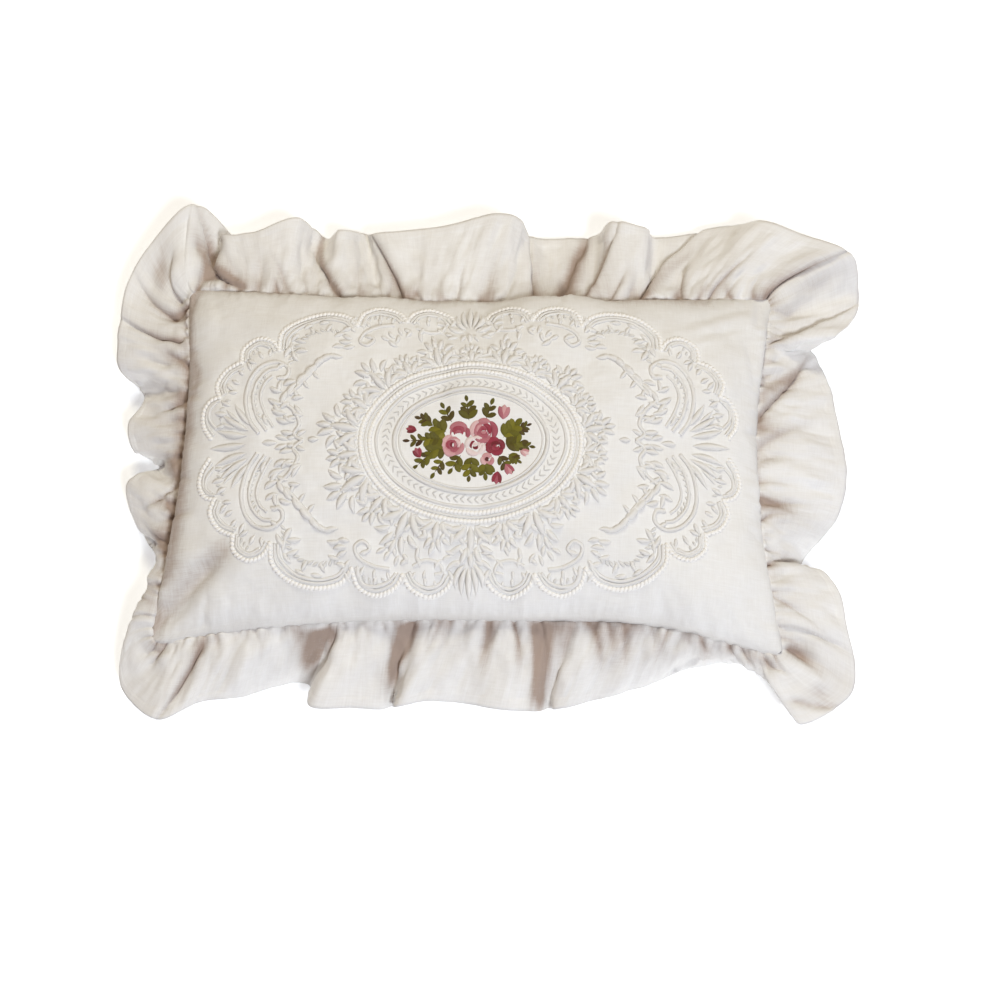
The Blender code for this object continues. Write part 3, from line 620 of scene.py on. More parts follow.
def makeCushion():
    across, along = panelValues["rowsAcross"], panelValues["rowsAlong"]
    u, v = np.meshgrid(np.linspace(-1, 1, 2 * across + 1), np.linspace(-1, 1, 2 * along + 1))
    s, t = roundedShares(u, v)
    x, y = planFromShares(s, t)
    face, back = (np.stack([x, y, level(s, t)], axis=-1) for level in (faceLevel, backLevel))
    spanX = (x.max(axis=1) - x.min(axis=1))[:, None] * 500
    spanY = (y.max(axis=0) - y.min(axis=0))[None, :] * 500
    x, y = x * 1000, y * 1000
    # for each side: how far each point is from it, how far along it, and its length
    sideSteps = [((1 - s) * spanX, (t + 1) * spanY, 300), ((1 + s) * spanX, (t + 1) * spanY, 300),
                 ((1 - t) * spanY, (s + 1) * spanX, 480), ((1 + t) * spanY, (s + 1) * spanX, 480)]
    nearest = np.minimum.reduce([away for away, _, _ in sideSteps])
    relief = panelRelief(x, y, sideSteps) * np.clip(nearest / 4.0, 0, 1) ** 1.2
    face += gridUp(face) * relief[..., None] / 1000
    backLift = 0.6 * lumps(x, y, 70.0, 31) * np.clip(nearest / 30.0, 0, 1)
    back[..., 2] += np.where(back[..., 2] > 0.004, 1.0, 0.0) * backLift / 1000
    # the back shares the face's outermost points, which lie on the seam
    front = np.arange(x.size).reshape(x.shape)
    behind, inside = front.copy(), (slice(1, -1), slice(1, -1))
    behind[inside] = x.size + np.arange(behind[inside].size).reshape(behind[inside].shape)
    points = np.vstack([face.reshape(-1, 3), back[inside].reshape(-1, 3)])
    uv = np.vstack([clothLengths(face).reshape(-1, 2), clothLengths(back)[inside].reshape(-1, 2)])
    made = newObject("cushionCloth", points, quads(front) + quads(behind, flipped=True), uv)
    # the panel's painted shade, none on the back
    shade = np.concatenate([panelShade(x, y, nearest).ravel(), np.zeros(len(points) - x.size)])
    paint(made.data, "sunk", shade.clip(0, 1.1))
    return made


print("cushion: shaping the panels")
cushion = makeCushion()

thick = ruffle.modifiers.new("cloth thickness", "SOLIDIFY")
thick.thickness = ruffleValues["clothThickness"]
thick.offset = 0

print("embroidery: laying out the whitework")


class Wire:
    # a node socket that takes part in sums; node() adds any other node behind or after it
    def __init__(self, tree, socket=None):
        self.tree, self.socket = tree, socket

    def node(self, kind, settings=None, values=None, output=0):
        made = self.tree.nodes.new(kind)
        for name, value in (settings or {}).items():
            if name == "stops":
                ramp = made.color_ramp
                while len(ramp.elements) < len(value):
                    ramp.elements.new(1.0)
                for element, (place, colour) in zip(ramp.elements, value):
                    element.position = place
                    element.color = (*colour, 1.0)
            else:
                setattr(made, name, value)
        for name, value in (values or {}).items():
            if isinstance(value, Wire):
                self.tree.links.new(value.socket, made.inputs[name])
            else:
                made.inputs[name].default_value = value
        return Wire(self.tree, made.outputs[output])

    def other(self, name):
        return Wire(self.tree, self.socket.node.outputs[name])

    def math(self, operation, first, second=0.0, third=0.0):
        return self.node("ShaderNodeMath", {"operation": operation}, {0: first, 1: second, 2: third})

    def vector(self, x=0.0, y=0.0, z=0.0):
        return self.node("ShaderNodeCombineXYZ", None, {0: x, 1: y, 2: z})

    def named(self, label):
        return self.node("GeometryNodeInputNamedAttribute", {"data_type": "FLOAT"}, {"Name": label})

    def marked(self, geometry, label, value, kind="FLOAT", domain="POINT"):
        return self.node("GeometryNodeStoreNamedAttribute", {"data_type": kind, "domain": domain},
                         {"Geometry": geometry, "Name": label, "Value": value})

    def __add__(self, other):
        return self.math("ADD", self, other)

    def __sub__(self, other):
        return self.math("SUBTRACT", self, other)

    def __rsub__(self, other):
        return self.math("SUBTRACT", other, self)

    def __mul__(self, other):
        return self.math("MULTIPLY", self, other)

    def __truediv__(self, other):
        return self.math("DIVIDE", self, other)

    def __pow__(self, other):
        return self.math("POWER", self, other)

    def __abs__(self):
        return self.math("ABSOLUTE", self)

    __radd__, __rmul__ = __add__, __mul__


def geometryTree(name, inputs):
    # a Geometry Nodes tree with named inputs; gives the tree, a wire to build from and its inputs
    tree = bpy.data.node_groups.new(name, "GeometryNodeTree")
    tree.interface.new_socket("Geometry", in_out="INPUT", socket_type="NodeSocketGeometry")
    tree.interface.new_socket("Geometry", in_out="OUTPUT", socket_type="NodeSocketGeometry")
    for label, kind in inputs.items():
        tree.interface.new_socket(label, in_out="INPUT", socket_type="NodeSocket" + kind)
    entry = tree.nodes.new("NodeGroupInput")
    return tree, Wire(tree), {socket.name: Wire(tree, socket) for socket in entry.outputs if socket.name}


def closeTree(tree, wire, shape, given):
    # every tree ends by laying its shape on the ground, smoothing it, realizing it and setting its thread
    landed = laidOnFace(wire, shape, given["Ground"])
    smooth = wire.node("GeometryNodeSetShadeSmooth", None, {"Geometry": landed})
    real = wire.node("GeometryNodeRealizeInstances", None, {"Geometry": smooth})
    done = wire.node("GeometryNodeSetMaterial", None, {"Geometry": real, "Material": given["Thread"]})
    tree.links.new(done.socket, tree.nodes.new("NodeGroupOutput").inputs[0])
    return tree


def growMesh(host, tree, values, name):
    # runs a tree on its host and keeps the result as a plain mesh object
    grower = host.modifiers.new("grow", "NODES")
    grower.node_group = tree
    sockets = {item.name: item.identifier for item in tree.interface.items_tree if item.in_out == "INPUT"}
    for label, value in values.items():
        grower[sockets[label]] = value
    bpy.context.view_layer.update()
    graph = bpy.context.evaluated_depsgraph_get()
    mesh = bpy.data.meshes.new_from_object(host.evaluated_get(graph), preserve_all_data_layers=True,
                                           depsgraph=graph)
    host.modifiers.clear()
    bpy.data.objects.remove(host)
    mesh.name = name
    return linked(name, mesh)


def laidOnFace(wire, geometry, ground):
    # takes what lies flat, its height in z, down onto the filled cushion's face
    place = wire.node("GeometryNodeInputPosition")
    apart = wire.node("ShaderNodeSeparateXYZ", None, {0: place})
    above = wire.vector(apart, apart.other("Y"), 0.3)
    cloth = wire.node("GeometryNodeObjectInfo", None, {"Object": ground}, "Geometry")
    hit = wire.node("GeometryNodeRaycast", {"data_type": "FLOAT_VECTOR", "mapping": "INTERPOLATED"},
                    {"Target Geometry": cloth, "Attribute": wire.node("GeometryNodeInputNormal"),
                     "Source Position": above, "Ray Direction": (0, 0, -1), "Ray Length": 1.0},
                    "Hit Position")
    # its height in millimetres, which the cream thread reads to paint shade at its foot
    marked = wire.marked(geometry, "rise", apart.other("Z") * 1000.0)
    raised = wire.node("ShaderNodeVectorMath", {"operation": "SCALE"},
                       {0: hit.other("Attribute"), "Scale": apart.other("Z")})
    landed = wire.node("ShaderNodeVectorMath", {"operation": "ADD"}, {0: hit, 1: raised})
    return wire.node("GeometryNodeSetPosition", None, {"Geometry": marked, "Position": landed})


def pathHost(name, runs):
    # flat lines as mesh edges; each run is its points, whether it closes, and numbers along it
    points, edges, kept = [], [], {}
    for line, closed, numbers in runs:
        first = len(points)
        points += [(x, y, 0.0) for x, y in line]
        edges += [(first + k, first + k + 1) for k in range(len(line) - 1)]
        if closed:
            edges.append((first + len(line) - 1, first))
        for label, value in numbers.items():
            kept.setdefault(label, []).extend(np.broadcast_to(value, len(line)))
    mesh = bpy.data.meshes.new(name)
    mesh.from_pydata(points, edges, [])
    for label, column in kept.items():
        paint(mesh, label, np.array(column))
    return linked(name, mesh)


def alongLines(wire, given, shape, angle, size):
    # a shape at every pitch along the lines, facing along them and turned by an angle, as real mesh
    lines = wire.node("GeometryNodeMeshToCurve", None, {"Mesh": given["Geometry"]})
    steps = wire.node("GeometryNodeResampleCurve", {"mode": "LENGTH"},
                      {"Curve": lines, "Length": given["Pitch"]})
    facing = wire.node("FunctionNodeAxesToRotation", {"primary_axis": "X", "secondary_axis": "Z"},
                       {"Primary Axis": wire.node("GeometryNodeInputTangent"), "Secondary Axis": (0, 0, 1)})
    turned = wire.node("FunctionNodeRotateRotation", {"rotation_space": "LOCAL"},
                       {"Rotation": facing, "Rotate By": wire.vector(z=angle)})
    placed = wire.node("GeometryNodeInstanceOnPoints", None,
                       {"Points": steps, "Instance": shape, "Rotation": turned, "Scale": size})
    return wire.node("GeometryNodeRealizeInstances", None, {"Geometry": placed})


def beadedCordTree():
    # slanted beads, nose to tail along each line, like a couched rope
    tree, wire, given = geometryTree("beadedCord", {
        "Ground": "Object", "Pitch": "Float", "Overlap": "Float", "Slant": "Float", "Height": "Float",
        "Thread": "Material"})
    half = wire.named("halfWidth")
    bead = wire.node("GeometryNodeMeshUVSphere", None, {"Segments": 8, "Rings": 5, "Radius": 1.0})
    size = wire.vector(given["Pitch"] * given["Overlap"] * 0.5, half, half * given["Height"])
    return closeTree(tree, wire, alongLines(wire, given, bead, given["Slant"], size), given)


def satinStrokeTree():
    # a padded satin stitch along each line: half round, swelling with the line's own half width
    tree, wire, given = geometryTree("satinStroke", {"Ground": "Object", "Loft": "Float",
                                                     "Thread": "Material"})
    lines = wire.node("GeometryNodeMeshToCurve", None, {"Mesh": given["Geometry"]})
    lines = wire.marked(lines, "run", wire.node("GeometryNodeSplineParameter", None, None, "Length"))
    upright = wire.node("GeometryNodeSetCurveNormal", {"mode": "Z_UP"}, {"Curve": lines})
    ring = wire.node("GeometryNodeCurvePrimitiveCircle", {"mode": "RADIUS"},
                     {"Resolution": 10, "Radius": 1.0})
    edge = wire.node("GeometryNodeSplineParameter", None, None, "Factor")
    swept = wire.node("GeometryNodeCurveToMesh", None,
                      {"Curve": upright, "Profile Curve": wire.marked(ring, "cross", edge),
                       "Scale": wire.named("halfWidth"), "Fill Caps": True})
    place = wire.node("ShaderNodeSeparateXYZ", None, {0: wire.node("GeometryNodeInputPosition")})
    top = wire.math("MAXIMUM", place.other("Z"), 0.0) * given["Loft"]
    under = wire.math("MINIMUM", place.other("Z"), 0.0) * 0.2
    low = wire.node("GeometryNodeSetPosition", None,
                    {"Geometry": swept, "Position": wire.vector(place, place.other("Y"), top + under)})
    pair = wire.vector(wire.named("run"), wire.named("cross"))
    return closeTree(tree, wire, wire.marked(low, "thread", pair, "FLOAT2", "CORNER"), given)


def leafFringeTree():
    # small padded leaves springing from each line at an angle, all on the side their lean gives
    tree, wire, given = geometryTree("leafFringe", {
        "Ground": "Object", "Leaf": "Object", "Pitch": "Float", "Unevenness": "Float", "Seed": "Int",
        "Thread": "Material"})

    def chance(seed):
        share = given["Unevenness"]
        return wire.node("FunctionNodeRandomValue", {"data_type": "FLOAT"},
                         {2: 1.0 - share, 3: share + 1.0, 8: given["Seed"] + seed}, 1)

    width = wire.named("leafWidth")
    size = wire.vector(wire.named("leafLength") * chance(2), width, width)
    shape = wire.node("GeometryNodeObjectInfo", None, {"Object": given["Leaf"]}, "Geometry")
    return closeTree(tree, wire, alongLines(wire, given, shape, wire.named("lean") * chance(1), size), given)


def leafShape(name):
    # one satin leaf a metre long and wide, domed, with the dip of its middle vein
    rows = [(0.0, 0.05), (0.16, 0.36), (0.4, 0.5), (0.68, 0.4), (0.88, 0.2), (1.0, 0.04)]
    points, uv = [], []
    for x, half in rows:
        # round the leaf's section: across, and how high
        for q, level in ((-1.0, 0.0), (-0.55, 0.78), (0.0, 0.62), (0.55, 0.78), (1.0, 0.0), (0.0, -0.16)):
            points.append((x, q * half, level * half))
            uv.append((x * 0.009, (q + 1) / 2))
    ring = 6
    index = np.arange(ring * len(rows)).reshape(-1, ring)
    faces = quads(np.hstack([index, index[:, :1]]), flipped=True)
    faces += [index[0].tolist(), index[-1, ::-1].tolist()]
    return newObject(name, np.array(points), faces, np.array(uv), "thread")


def smoothLine(points, step=1.2):
    # a smooth open line through control points, in millimetres
    knots = np.array(points, dtype=float)
    knots = np.vstack([2 * knots[0] - knots[1], knots, 2 * knots[-1] - knots[-2]])
    line = []
    for k in range(1, len(knots) - 2):
        count = max(2, math.ceil(np.linalg.norm(knots[k + 1] - knots[k]) / step))
        line.append(curveBetween(*knots[k - 1:k + 3], np.linspace(0, 1, count, endpoint=False)[:, None]))
    return np.vstack(line + [knots[-2:-1]])


def ovalLine(halfLength, halfWidth, count=150):
    angle = np.linspace(0, math.tau, count, endpoint=False)
    return np.column_stack([halfLength * np.cos(angle), halfWidth * np.sin(angle)])


def strokeLine(x, y, heading, length, bend, count=9):
    # a stroke from its root, its heading turning by `bend` degrees on the way
    share = np.linspace(0, 1, count)
    angle = np.radians(heading + bend * (share - 0.5) * 2)
    steps = length * np.diff(share, prepend=0)
    return np.column_stack([x + np.cumsum(steps * np.cos(angle)), y + np.cumsum(steps * np.sin(angle))])


def leafSwell(count, fullAt=0.45, tip=0.8):
    # how a leaf's half width swells and closes from root to tip, as shares of its widest
    share = np.linspace(0, 1, count)
    rise = np.sin(np.pi / 2 * np.clip(share / fullAt, 0, 1)) ** 0.75
    fall = np.cos(np.pi / 2 * np.clip((share - fullAt) / (1 - fullAt), 0, 1)) ** tip
    return np.clip(rise * fall, 0.06, 1)


quarters = ((1, 1), (-1, 1), (-1, -1), (1, -1))


def mirrored(lines, turns=quarters):
    # a quarter's design on all four quarters, or on the two halves that an axis leaves
    return [(line * turn, *rest) for line, *rest in lines for turn in turns]


whiteworkValues = {
    "middle": (0.0, -3.5),
    "beadPitch": 3.1,
    "beadOverlap": 1.62,
    "beadSlant": 34,
    "beadHeight": 0.95,
    "satinLoft": 1.12,
    "leafPitch": 4.2,
    "leafUnevenness": 0.16,
    "seed": 7,
}
# One quarter of the whitework, in millimetres from its middle: the roped outer scallops, the plain cords
# inside them, and the scrolls. Each row is a half width and the points its line runs through.
ropedLines = [
    (1.65, [(203, 9), (209, 19), (210, 30), (205, 39), (197, 42)]),
    (1.65, [(197, 42), (200, 53), (193, 65), (181, 71)]),
    (1.65, [(181, 71), (180, 83), (169, 91), (157, 88), (151, 80)]),
    (1.75, [(151, 80), (149, 95), (135, 107), (116, 112), (98, 108), (89, 99)]),
    (1.65, [(89, 99), (84, 111), (71, 117), (57, 113), (50, 104)]),
    (1.65, [(50, 104), (44, 113), (31, 118), (18, 113), (12, 105)]),
]
plainLines = [
    (1.22, [(198, 16), (204, 24), (204, 32), (199, 37)]),
    (1.22, [(192, 44), (194, 53), (188, 62), (178, 66)]),
    (1.22, [(176, 73), (175, 81), (167, 86), (159, 83)]),
    (1.28, [(145, 80), (143, 91), (131, 102), (115, 106), (101, 103), (94, 97)]),
    (1.22, [(84, 101), (80, 109), (71, 111), (61, 108), (55, 102)]),
    (1.22, [(45, 101), (40, 109), (31, 112), (22, 109), (18, 102)]),
    (1.60, [(163, 8), (171, 20), (175, 38), (172, 54), (163, 65), (151, 68), (142, 62), (143, 54),
            (150, 53)]),
    (1.34, [(157, 10), (165, 22), (169, 38), (166, 51), (158, 60), (150, 62)]),
    (1.15, [(152, 13), (159, 25), (163, 38), (160, 49), (154, 55)]),
    (1.47, [(145, 33), (136, 25), (131, 14), (135, 6), (128, 0)]),
    (1.47, [(60, 99), (72, 97), (83, 91), (86, 83), (80, 79), (75, 84), (79, 88)]),
    (1.34, [(42, 97), (33, 93), (23, 95), (20, 101), (26, 103)]),
    (1.41, [(139, 38), (130, 48), (120, 60)]),
]
# Padded strokes: root x, root y, heading and length, widest width, bend over its length.
padStrokes = [
    # x, y, heading, length, width, bend
    (172, 7, 15, 27, 4.6, 10), (171, 11, 33, 27, 4.4, 8), (170, 15, 54, 24, 4.2, 6),
    (181, 14, 24, 16, 2.6, 8), (179, 19, 44, 16, 2.6, 8), (150, 20, 200, 13, 4, -22),
    (154, 28, 205, 14, 4.2, -24), (157, 37, 208, 14, 4, -24), (156, 46, 205, 12, 3.6, -20),
    (146, 9, 188, 12, 3.8, -18), (141, 3, 174, 8, 3.2, 0), (146, 30, 118, 15, 4.2, 26),
    (141, 36, 120, 14, 4.2, 26), (148, 40, 96, 12, 3.4, 20), (134, 44, 128, 16, 5, 28),
    (128, 51, 130, 17, 5.4, 28), (121, 59, 132, 15, 5, 26), (136, 43, 245, 9, 3, -20),
    (129, 50, 240, 9, 3, -20), (122, 58, 236, 9, 3, -18), (113, 68, 168, 12, 3.6, 24),
    (108, 78, 178, 11, 3.4, 24), (107, 88, 160, 10, 3.2, 20), (113, 93, 116, 9, 3, 10),
    (123, 92, 62, 9, 3, -10), (129, 84, 20, 11, 3.4, -16), (127, 76, 5, 12, 3.6, -18),
    (134, 68, 60, 13, 4, 22), (139, 76, 78, 11, 3.2, 14), (163, 72, 60, 9, 3, 0),
    (158, 74, 96, 8, 2.8, 0), (168, 68, 28, 9, 3, 0), (181, 52, 30, 8, 3, 0), (182, 45, 2, 8, 3, 0),
    (178, 59, 52, 8, 3, 0), (90, 92, 60, 9, 3.2, 16), (92, 86, 24, 10, 3.2, 18),
    (90, 79, 350, 10, 3.2, 16), (88, 98, 60, 9, 3, 10), (83, 88, 200, 9, 3, 16), (70, 88, 210, 9, 3, -16),
    (64, 93, 236, 9, 3, -16), (56, 97, 250, 9, 3, -14), (71, 99, 84, 8, 2.8, 0),
    (62, 101, 108, 7, 2.6, 0), (79, 97, 62, 8, 2.8, 0), (46, 95, 300, 9, 3.2, 18),
    (39, 92, 262, 9, 3.2, -10), (30, 90, 244, 9, 3, -14), (20, 93, 205, 9, 3, -18),
    (33, 100, 80, 7, 2.6, 0), (40, 101, 58, 7, 2.6, 0), (26, 107, 100, 5, 2.2, 0),
    (3, 96, 62, 19, 4.4, 34), (2, 98, 78, 20, 4.2, 18), (6, 93, 30, 14, 3.6, 20), (9, 88, 352, 9, 3, -14),
    (3, 90, 300, 8, 3, -10), (118, 64, 150, 15, 4.4, 22), (110, 72, 196, 12, 3.8, -26),
    (103, 84, 186, 11, 3.6, -22), (101, 94, 160, 10, 3.4, -10), (146, 72, 122, 14, 4, 20),
    (141, 86, 128, 10, 3.4, 14), (132, 98, 150, 9, 3.2, 10), (120, 102, 172, 9, 3.2, 8),
    (151, 62, 150, 8, 3.2, 20), (152, 33, 236, 13, 3.8, -20), (160, 24, 248, 11, 3.4, -16),
    (144, 22, 214, 12, 3.8, -26), (135, 30, 236, 12, 3.6, -20), (150, 5, 196, 11, 3.6, 14),
    (143, 16, 160, 11, 3.8, 24), (137, 24, 205, 10, 3.6, -20), (133, 4, 150, 9, 3.4, 20),
    (147, 27, 150, 10, 3.4, 20), (138, 34, 170, 10, 3.6, 18), (145, 46, 160, 11, 3.8, 20),
    (150, 55, 200, 9, 3.2, -20), (189, 26, 12, 11, 3.4, 10), (187, 33, 32, 10, 3.2, 8),
    (190, 18, -8, 9, 3, 6), (172, 62, 66, 10, 3.2, -10), (186, 47, 48, 9, 3, 10),
    (84, 96, 96, 11, 3.4, 14), (70, 104, 76, 7, 2.8, 0), (64, 84, 216, 10, 3.4, -20),
    (56, 90, 282, 9, 3.2, 20), (48, 102, 66, 9, 3.2, -14), (37, 98, 292, 10, 3.4, 24),
    (26, 99, 232, 9, 3.2, -18), (16, 99, 112, 12, 3.4, -20), (13, 96, 196, 9, 3.2, 20),
    (33, 105, 90, 6, 2.8, 0), (52, 96, 216, 8, 3, -12), (94, 100, 118, 9, 3.2, 16),
]
shortAxisStrokes = [(0, 98, 90, 23, 4.8, 0), (0, 92, 270, 10, 3.8, 0)]
longAxisStrokes = [(173, 0, 0, 30, 5.0, 0), (124, 0, 180, 9, 3.6, 0), (160, 0, 180, 12, 4.2, 0)]
fringeLines = [
    # leaf length, leaf width, lean in degrees, the line
    (5.6, 2.3, -52, [(160, 20), (165, 30), (166, 42), (160, 53)]),
    (6.0, 2.4, 48, [(143, 66), (141, 78), (130, 92), (114, 97), (102, 95)]),
    (4.6, 2.0, -55, [(186, 68), (175, 72), (168, 80)]),
    (4.6, 2.0, -55, [(80, 103), (71, 106), (62, 104)]),
    (4.4, 2.0, 55, [(196, 22), (196, 30), (192, 38)]),
]
medallion = {
    "middle": (1.5, -6.1),
    "ropedOvals": [(84.5, 62.4, 2.0), (77.6, 56.2, 1.8)],
    "plainOvals": [(81.1, 59.3, 0.9), (72.6, 51.9, 1.2), (58.6, 41.2, 1.7), (54.8, 38.0, 0.8)],
    "laurelOval": (65.4, 46.4),
    "laurelPitch": 5.4,
    "laurelLeaf": (4.8, 1.25, 38),  # length, width, lean in degrees
    "seed": 3,
    "crests": 22,
    "crestOval": (87.6, 65.5),
    "crestReach": (1.0, 0.34, 0.22),  # plain, and what is added to the left and below
    # turn from straight out, root over the oval, length, width
    "crestLeaves": [(-78, 0, 11, 3.8), (-44, 0, 15, 4.6), (0, 0, 17, 5.2), (44, 0, 15, 4.6),
                    (78, 0, 11, 3.8), (-58, 11, 10, 3.6), (-24, 13, 11, 4.0), (24, 13, 11, 4.0),
                    (58, 11, 10, 3.6), (0, 16, 9, 3.8)],
    "crestHooks": [(6.2, 0.0, 13.0), (3.4, 9.5, 12.0)],  # beside the crest, over the oval, length
}


def crestStrokes():
    # acanthus crests round the medallion, large and small in turn, with hooks, swags and leaves between them
    strokes, cords = [], []
    count, (a, b) = medallion["crests"], medallion["crestOval"]
    plain, left, below = medallion["crestReach"]
    angles = math.tau * (np.arange(count) + 0.5) / count
    for number, angle in enumerate(angles):
        x, y = a * math.cos(angle), b * math.sin(angle)
        out = math.degrees(math.atan2(y / b**2, x / a**2))
        outX, outY = math.cos(math.radians(out)), math.sin(math.radians(out))
        grow = plain + left * max(0.0, -outX) + below * max(0.0, -outY)
        grow *= 1.0 if number % 2 == 0 else 0.72

        def besideCrest(side, over):
            return x + grow * (outX * over - outY * side), y + grow * (outX * side + outY * over)

        for turn, over, length, width in medallion["crestLeaves"]:
            root = besideCrest(turn / 80 * (4.8 + 0.28 * over), over)
            strokes.append((*root, out + turn, length * grow, width * (0.5 + 0.5 * grow), turn * 0.5))
        for hand in (-1, 1):
            for side, over, length in medallion["crestHooks"]:
                root = besideCrest(hand * side, over)
                curl = strokeLine(*root, out + hand * 14, length * grow, hand * 112, 14)
                cords.append((curl, False, {"halfWidth": 1.05 * np.linspace(1.15, 0.7, 14)}))
    for angle, onward in zip(angles, np.roll(angles, -1)):
        onward += math.tau if onward < angle else 0
        share = np.linspace(0.14, 0.86, 13)
        turn = angle + (onward - angle) * share
        for bow in (0.05, 0.12):
            swell = 1 + bow * np.sin(np.pi * (share - 0.14) / 0.72)
            cords.append((np.column_stack([a * swell * np.cos(turn), b * swell * np.sin(turn)]), False,
                          {"halfWidth": 0.85}))
        for share in (0.3, 0.5, 0.7):
            turn = angle + (onward - angle) * share
            out = math.degrees(math.atan2(math.sin(turn) / b, math.cos(turn) / a))
            fan = share - 0.5
            strokes.append((1.1 * a * math.cos(turn), 1.1 * b * math.sin(turn), out + fan * 120, 8.5, 3.4,
                            fan * 60))
    return strokes, cords


def besideLine(line, distance):
    # a line running to the left of another
    travel = np.gradient(line, axis=0)
    travel /= np.linalg.norm(travel, axis=1)[:, None]
    return line + np.column_stack([-travel[:, 1], travel[:, 0]]) * distance


def strokeRuns(strokes, fullAt=0.45, broad=1.1, tip=0.8):
    runs = []
    for x, y, heading, length, width, bend, *shade in strokes:
        numbers = {"halfWidth": leafSwell(9, fullAt, tip) * width * broad / 2}
        if shade:
            numbers["shade"] = shade[0]
        runs.append((strokeLine(x, y, heading, length, bend), False, numbers))
    return runs


def inMetres(runs, middle=(0.0, 0.0)):
    # the millimetre lines and their lengths as metres in the cushion's plan
    scaled = []
    for line, closed, numbers in runs:
        lengths = {label: value if label in ("lean", "shade") else np.asarray(value) / 1000
                   for label, value in numbers.items()}
        scaled.append(((np.asarray(line) + middle) / 1000, closed, lengths))
    return scaled


def newMaterial(name, plain):
    # a material with its shader's plain values, a wire to build from and the shader's inputs
    made = bpy.data.materials.new(name)
    made.use_nodes = True
    inputs = made.node_tree.nodes["Principled BSDF"].inputs
    for label, value in plain.items():
        inputs[label].default_value = value
    return made, Wire(made.node_tree), inputs


def threadMaterial(name, ramp, roughness, stitch):
    # satin stitches across each stroke; colour from the stroke's own shade where it has one
    made, wire, inputs = newMaterial(name, {"Roughness": roughness, "Sheen Roughness": 0.4,
                                            "Sheen Weight": 0.25 if len(ramp) == 1 else 0.05})
    uv = wire.node("ShaderNodeUVMap", {"uv_map": "thread"})
    apart = wire.node("ShaderNodeSeparateXYZ", None, {0: uv})
    across = apart.other("Y")
    slope = abs(across - 0.5) * 0.0012
    lines = wire.math("SINE", (apart + slope) * (math.tau / stitch))
    place = wire.node("ShaderNodeTexCoord", None, None, "Object")
    grain = wire.node("ShaderNodeTexNoise", {"noise_dimensions": "3D"},
                      {"Vector": place, "Scale": 900.0, "Detail": 2.0})
    if len(ramp) > 1:
        shade = wire.node("ShaderNodeAttribute", {"attribute_name": "shade"}, None, "Fac")
        mottled = shade + (grain - 0.5) * 0.10 + lines * 0.03
        colour = wire.node("ShaderNodeValToRGB", {"stops": ramp}, {0: mottled})
    else:
        # painted shade: the thread darker at the foot of each stitch, low by the cloth
        rise = wire.node("ShaderNodeAttribute", {"attribute_name": "rise"}, None, "Fac")
        colour = wire.node("ShaderNodeValToRGB",
                           {"stops": [(place, tuple(part * c for c in ramp[0][1]))
                                      for place, part in ((0.0, 0.74), (0.35, 0.93), (0.8, 1.0))]},
                           {0: wire.math("MINIMUM", rise * 1.1, 0.75) + grain * 0.3 + lines * 0.08 - 0.1})
    bump = wire.node("ShaderNodeBump", None,
                     {"Strength": 0.55, "Distance": 0.00025, "Height": lines * 0.6 + grain * 0.4})
    wire.tree.links.new(colour.socket, inputs["Base Color"])
    wire.tree.links.new(bump.socket, inputs["Normal"])
    return made


def fromPaint(red, green, blue):
    # a colour as painters' tools give it, 0 to 255, as the shader's linear numbers
    return tuple(c / 12.92 if c <= 0.04045 else ((c + 0.055) / 1.055) ** 2.4
                 for c in (red / 255, green / 255, blue / 255))


paintedShadeTint = (0.54, 0.43, 0.37)  # painted shade: how much of each of red, green and blue is left where the deepest shade is painted
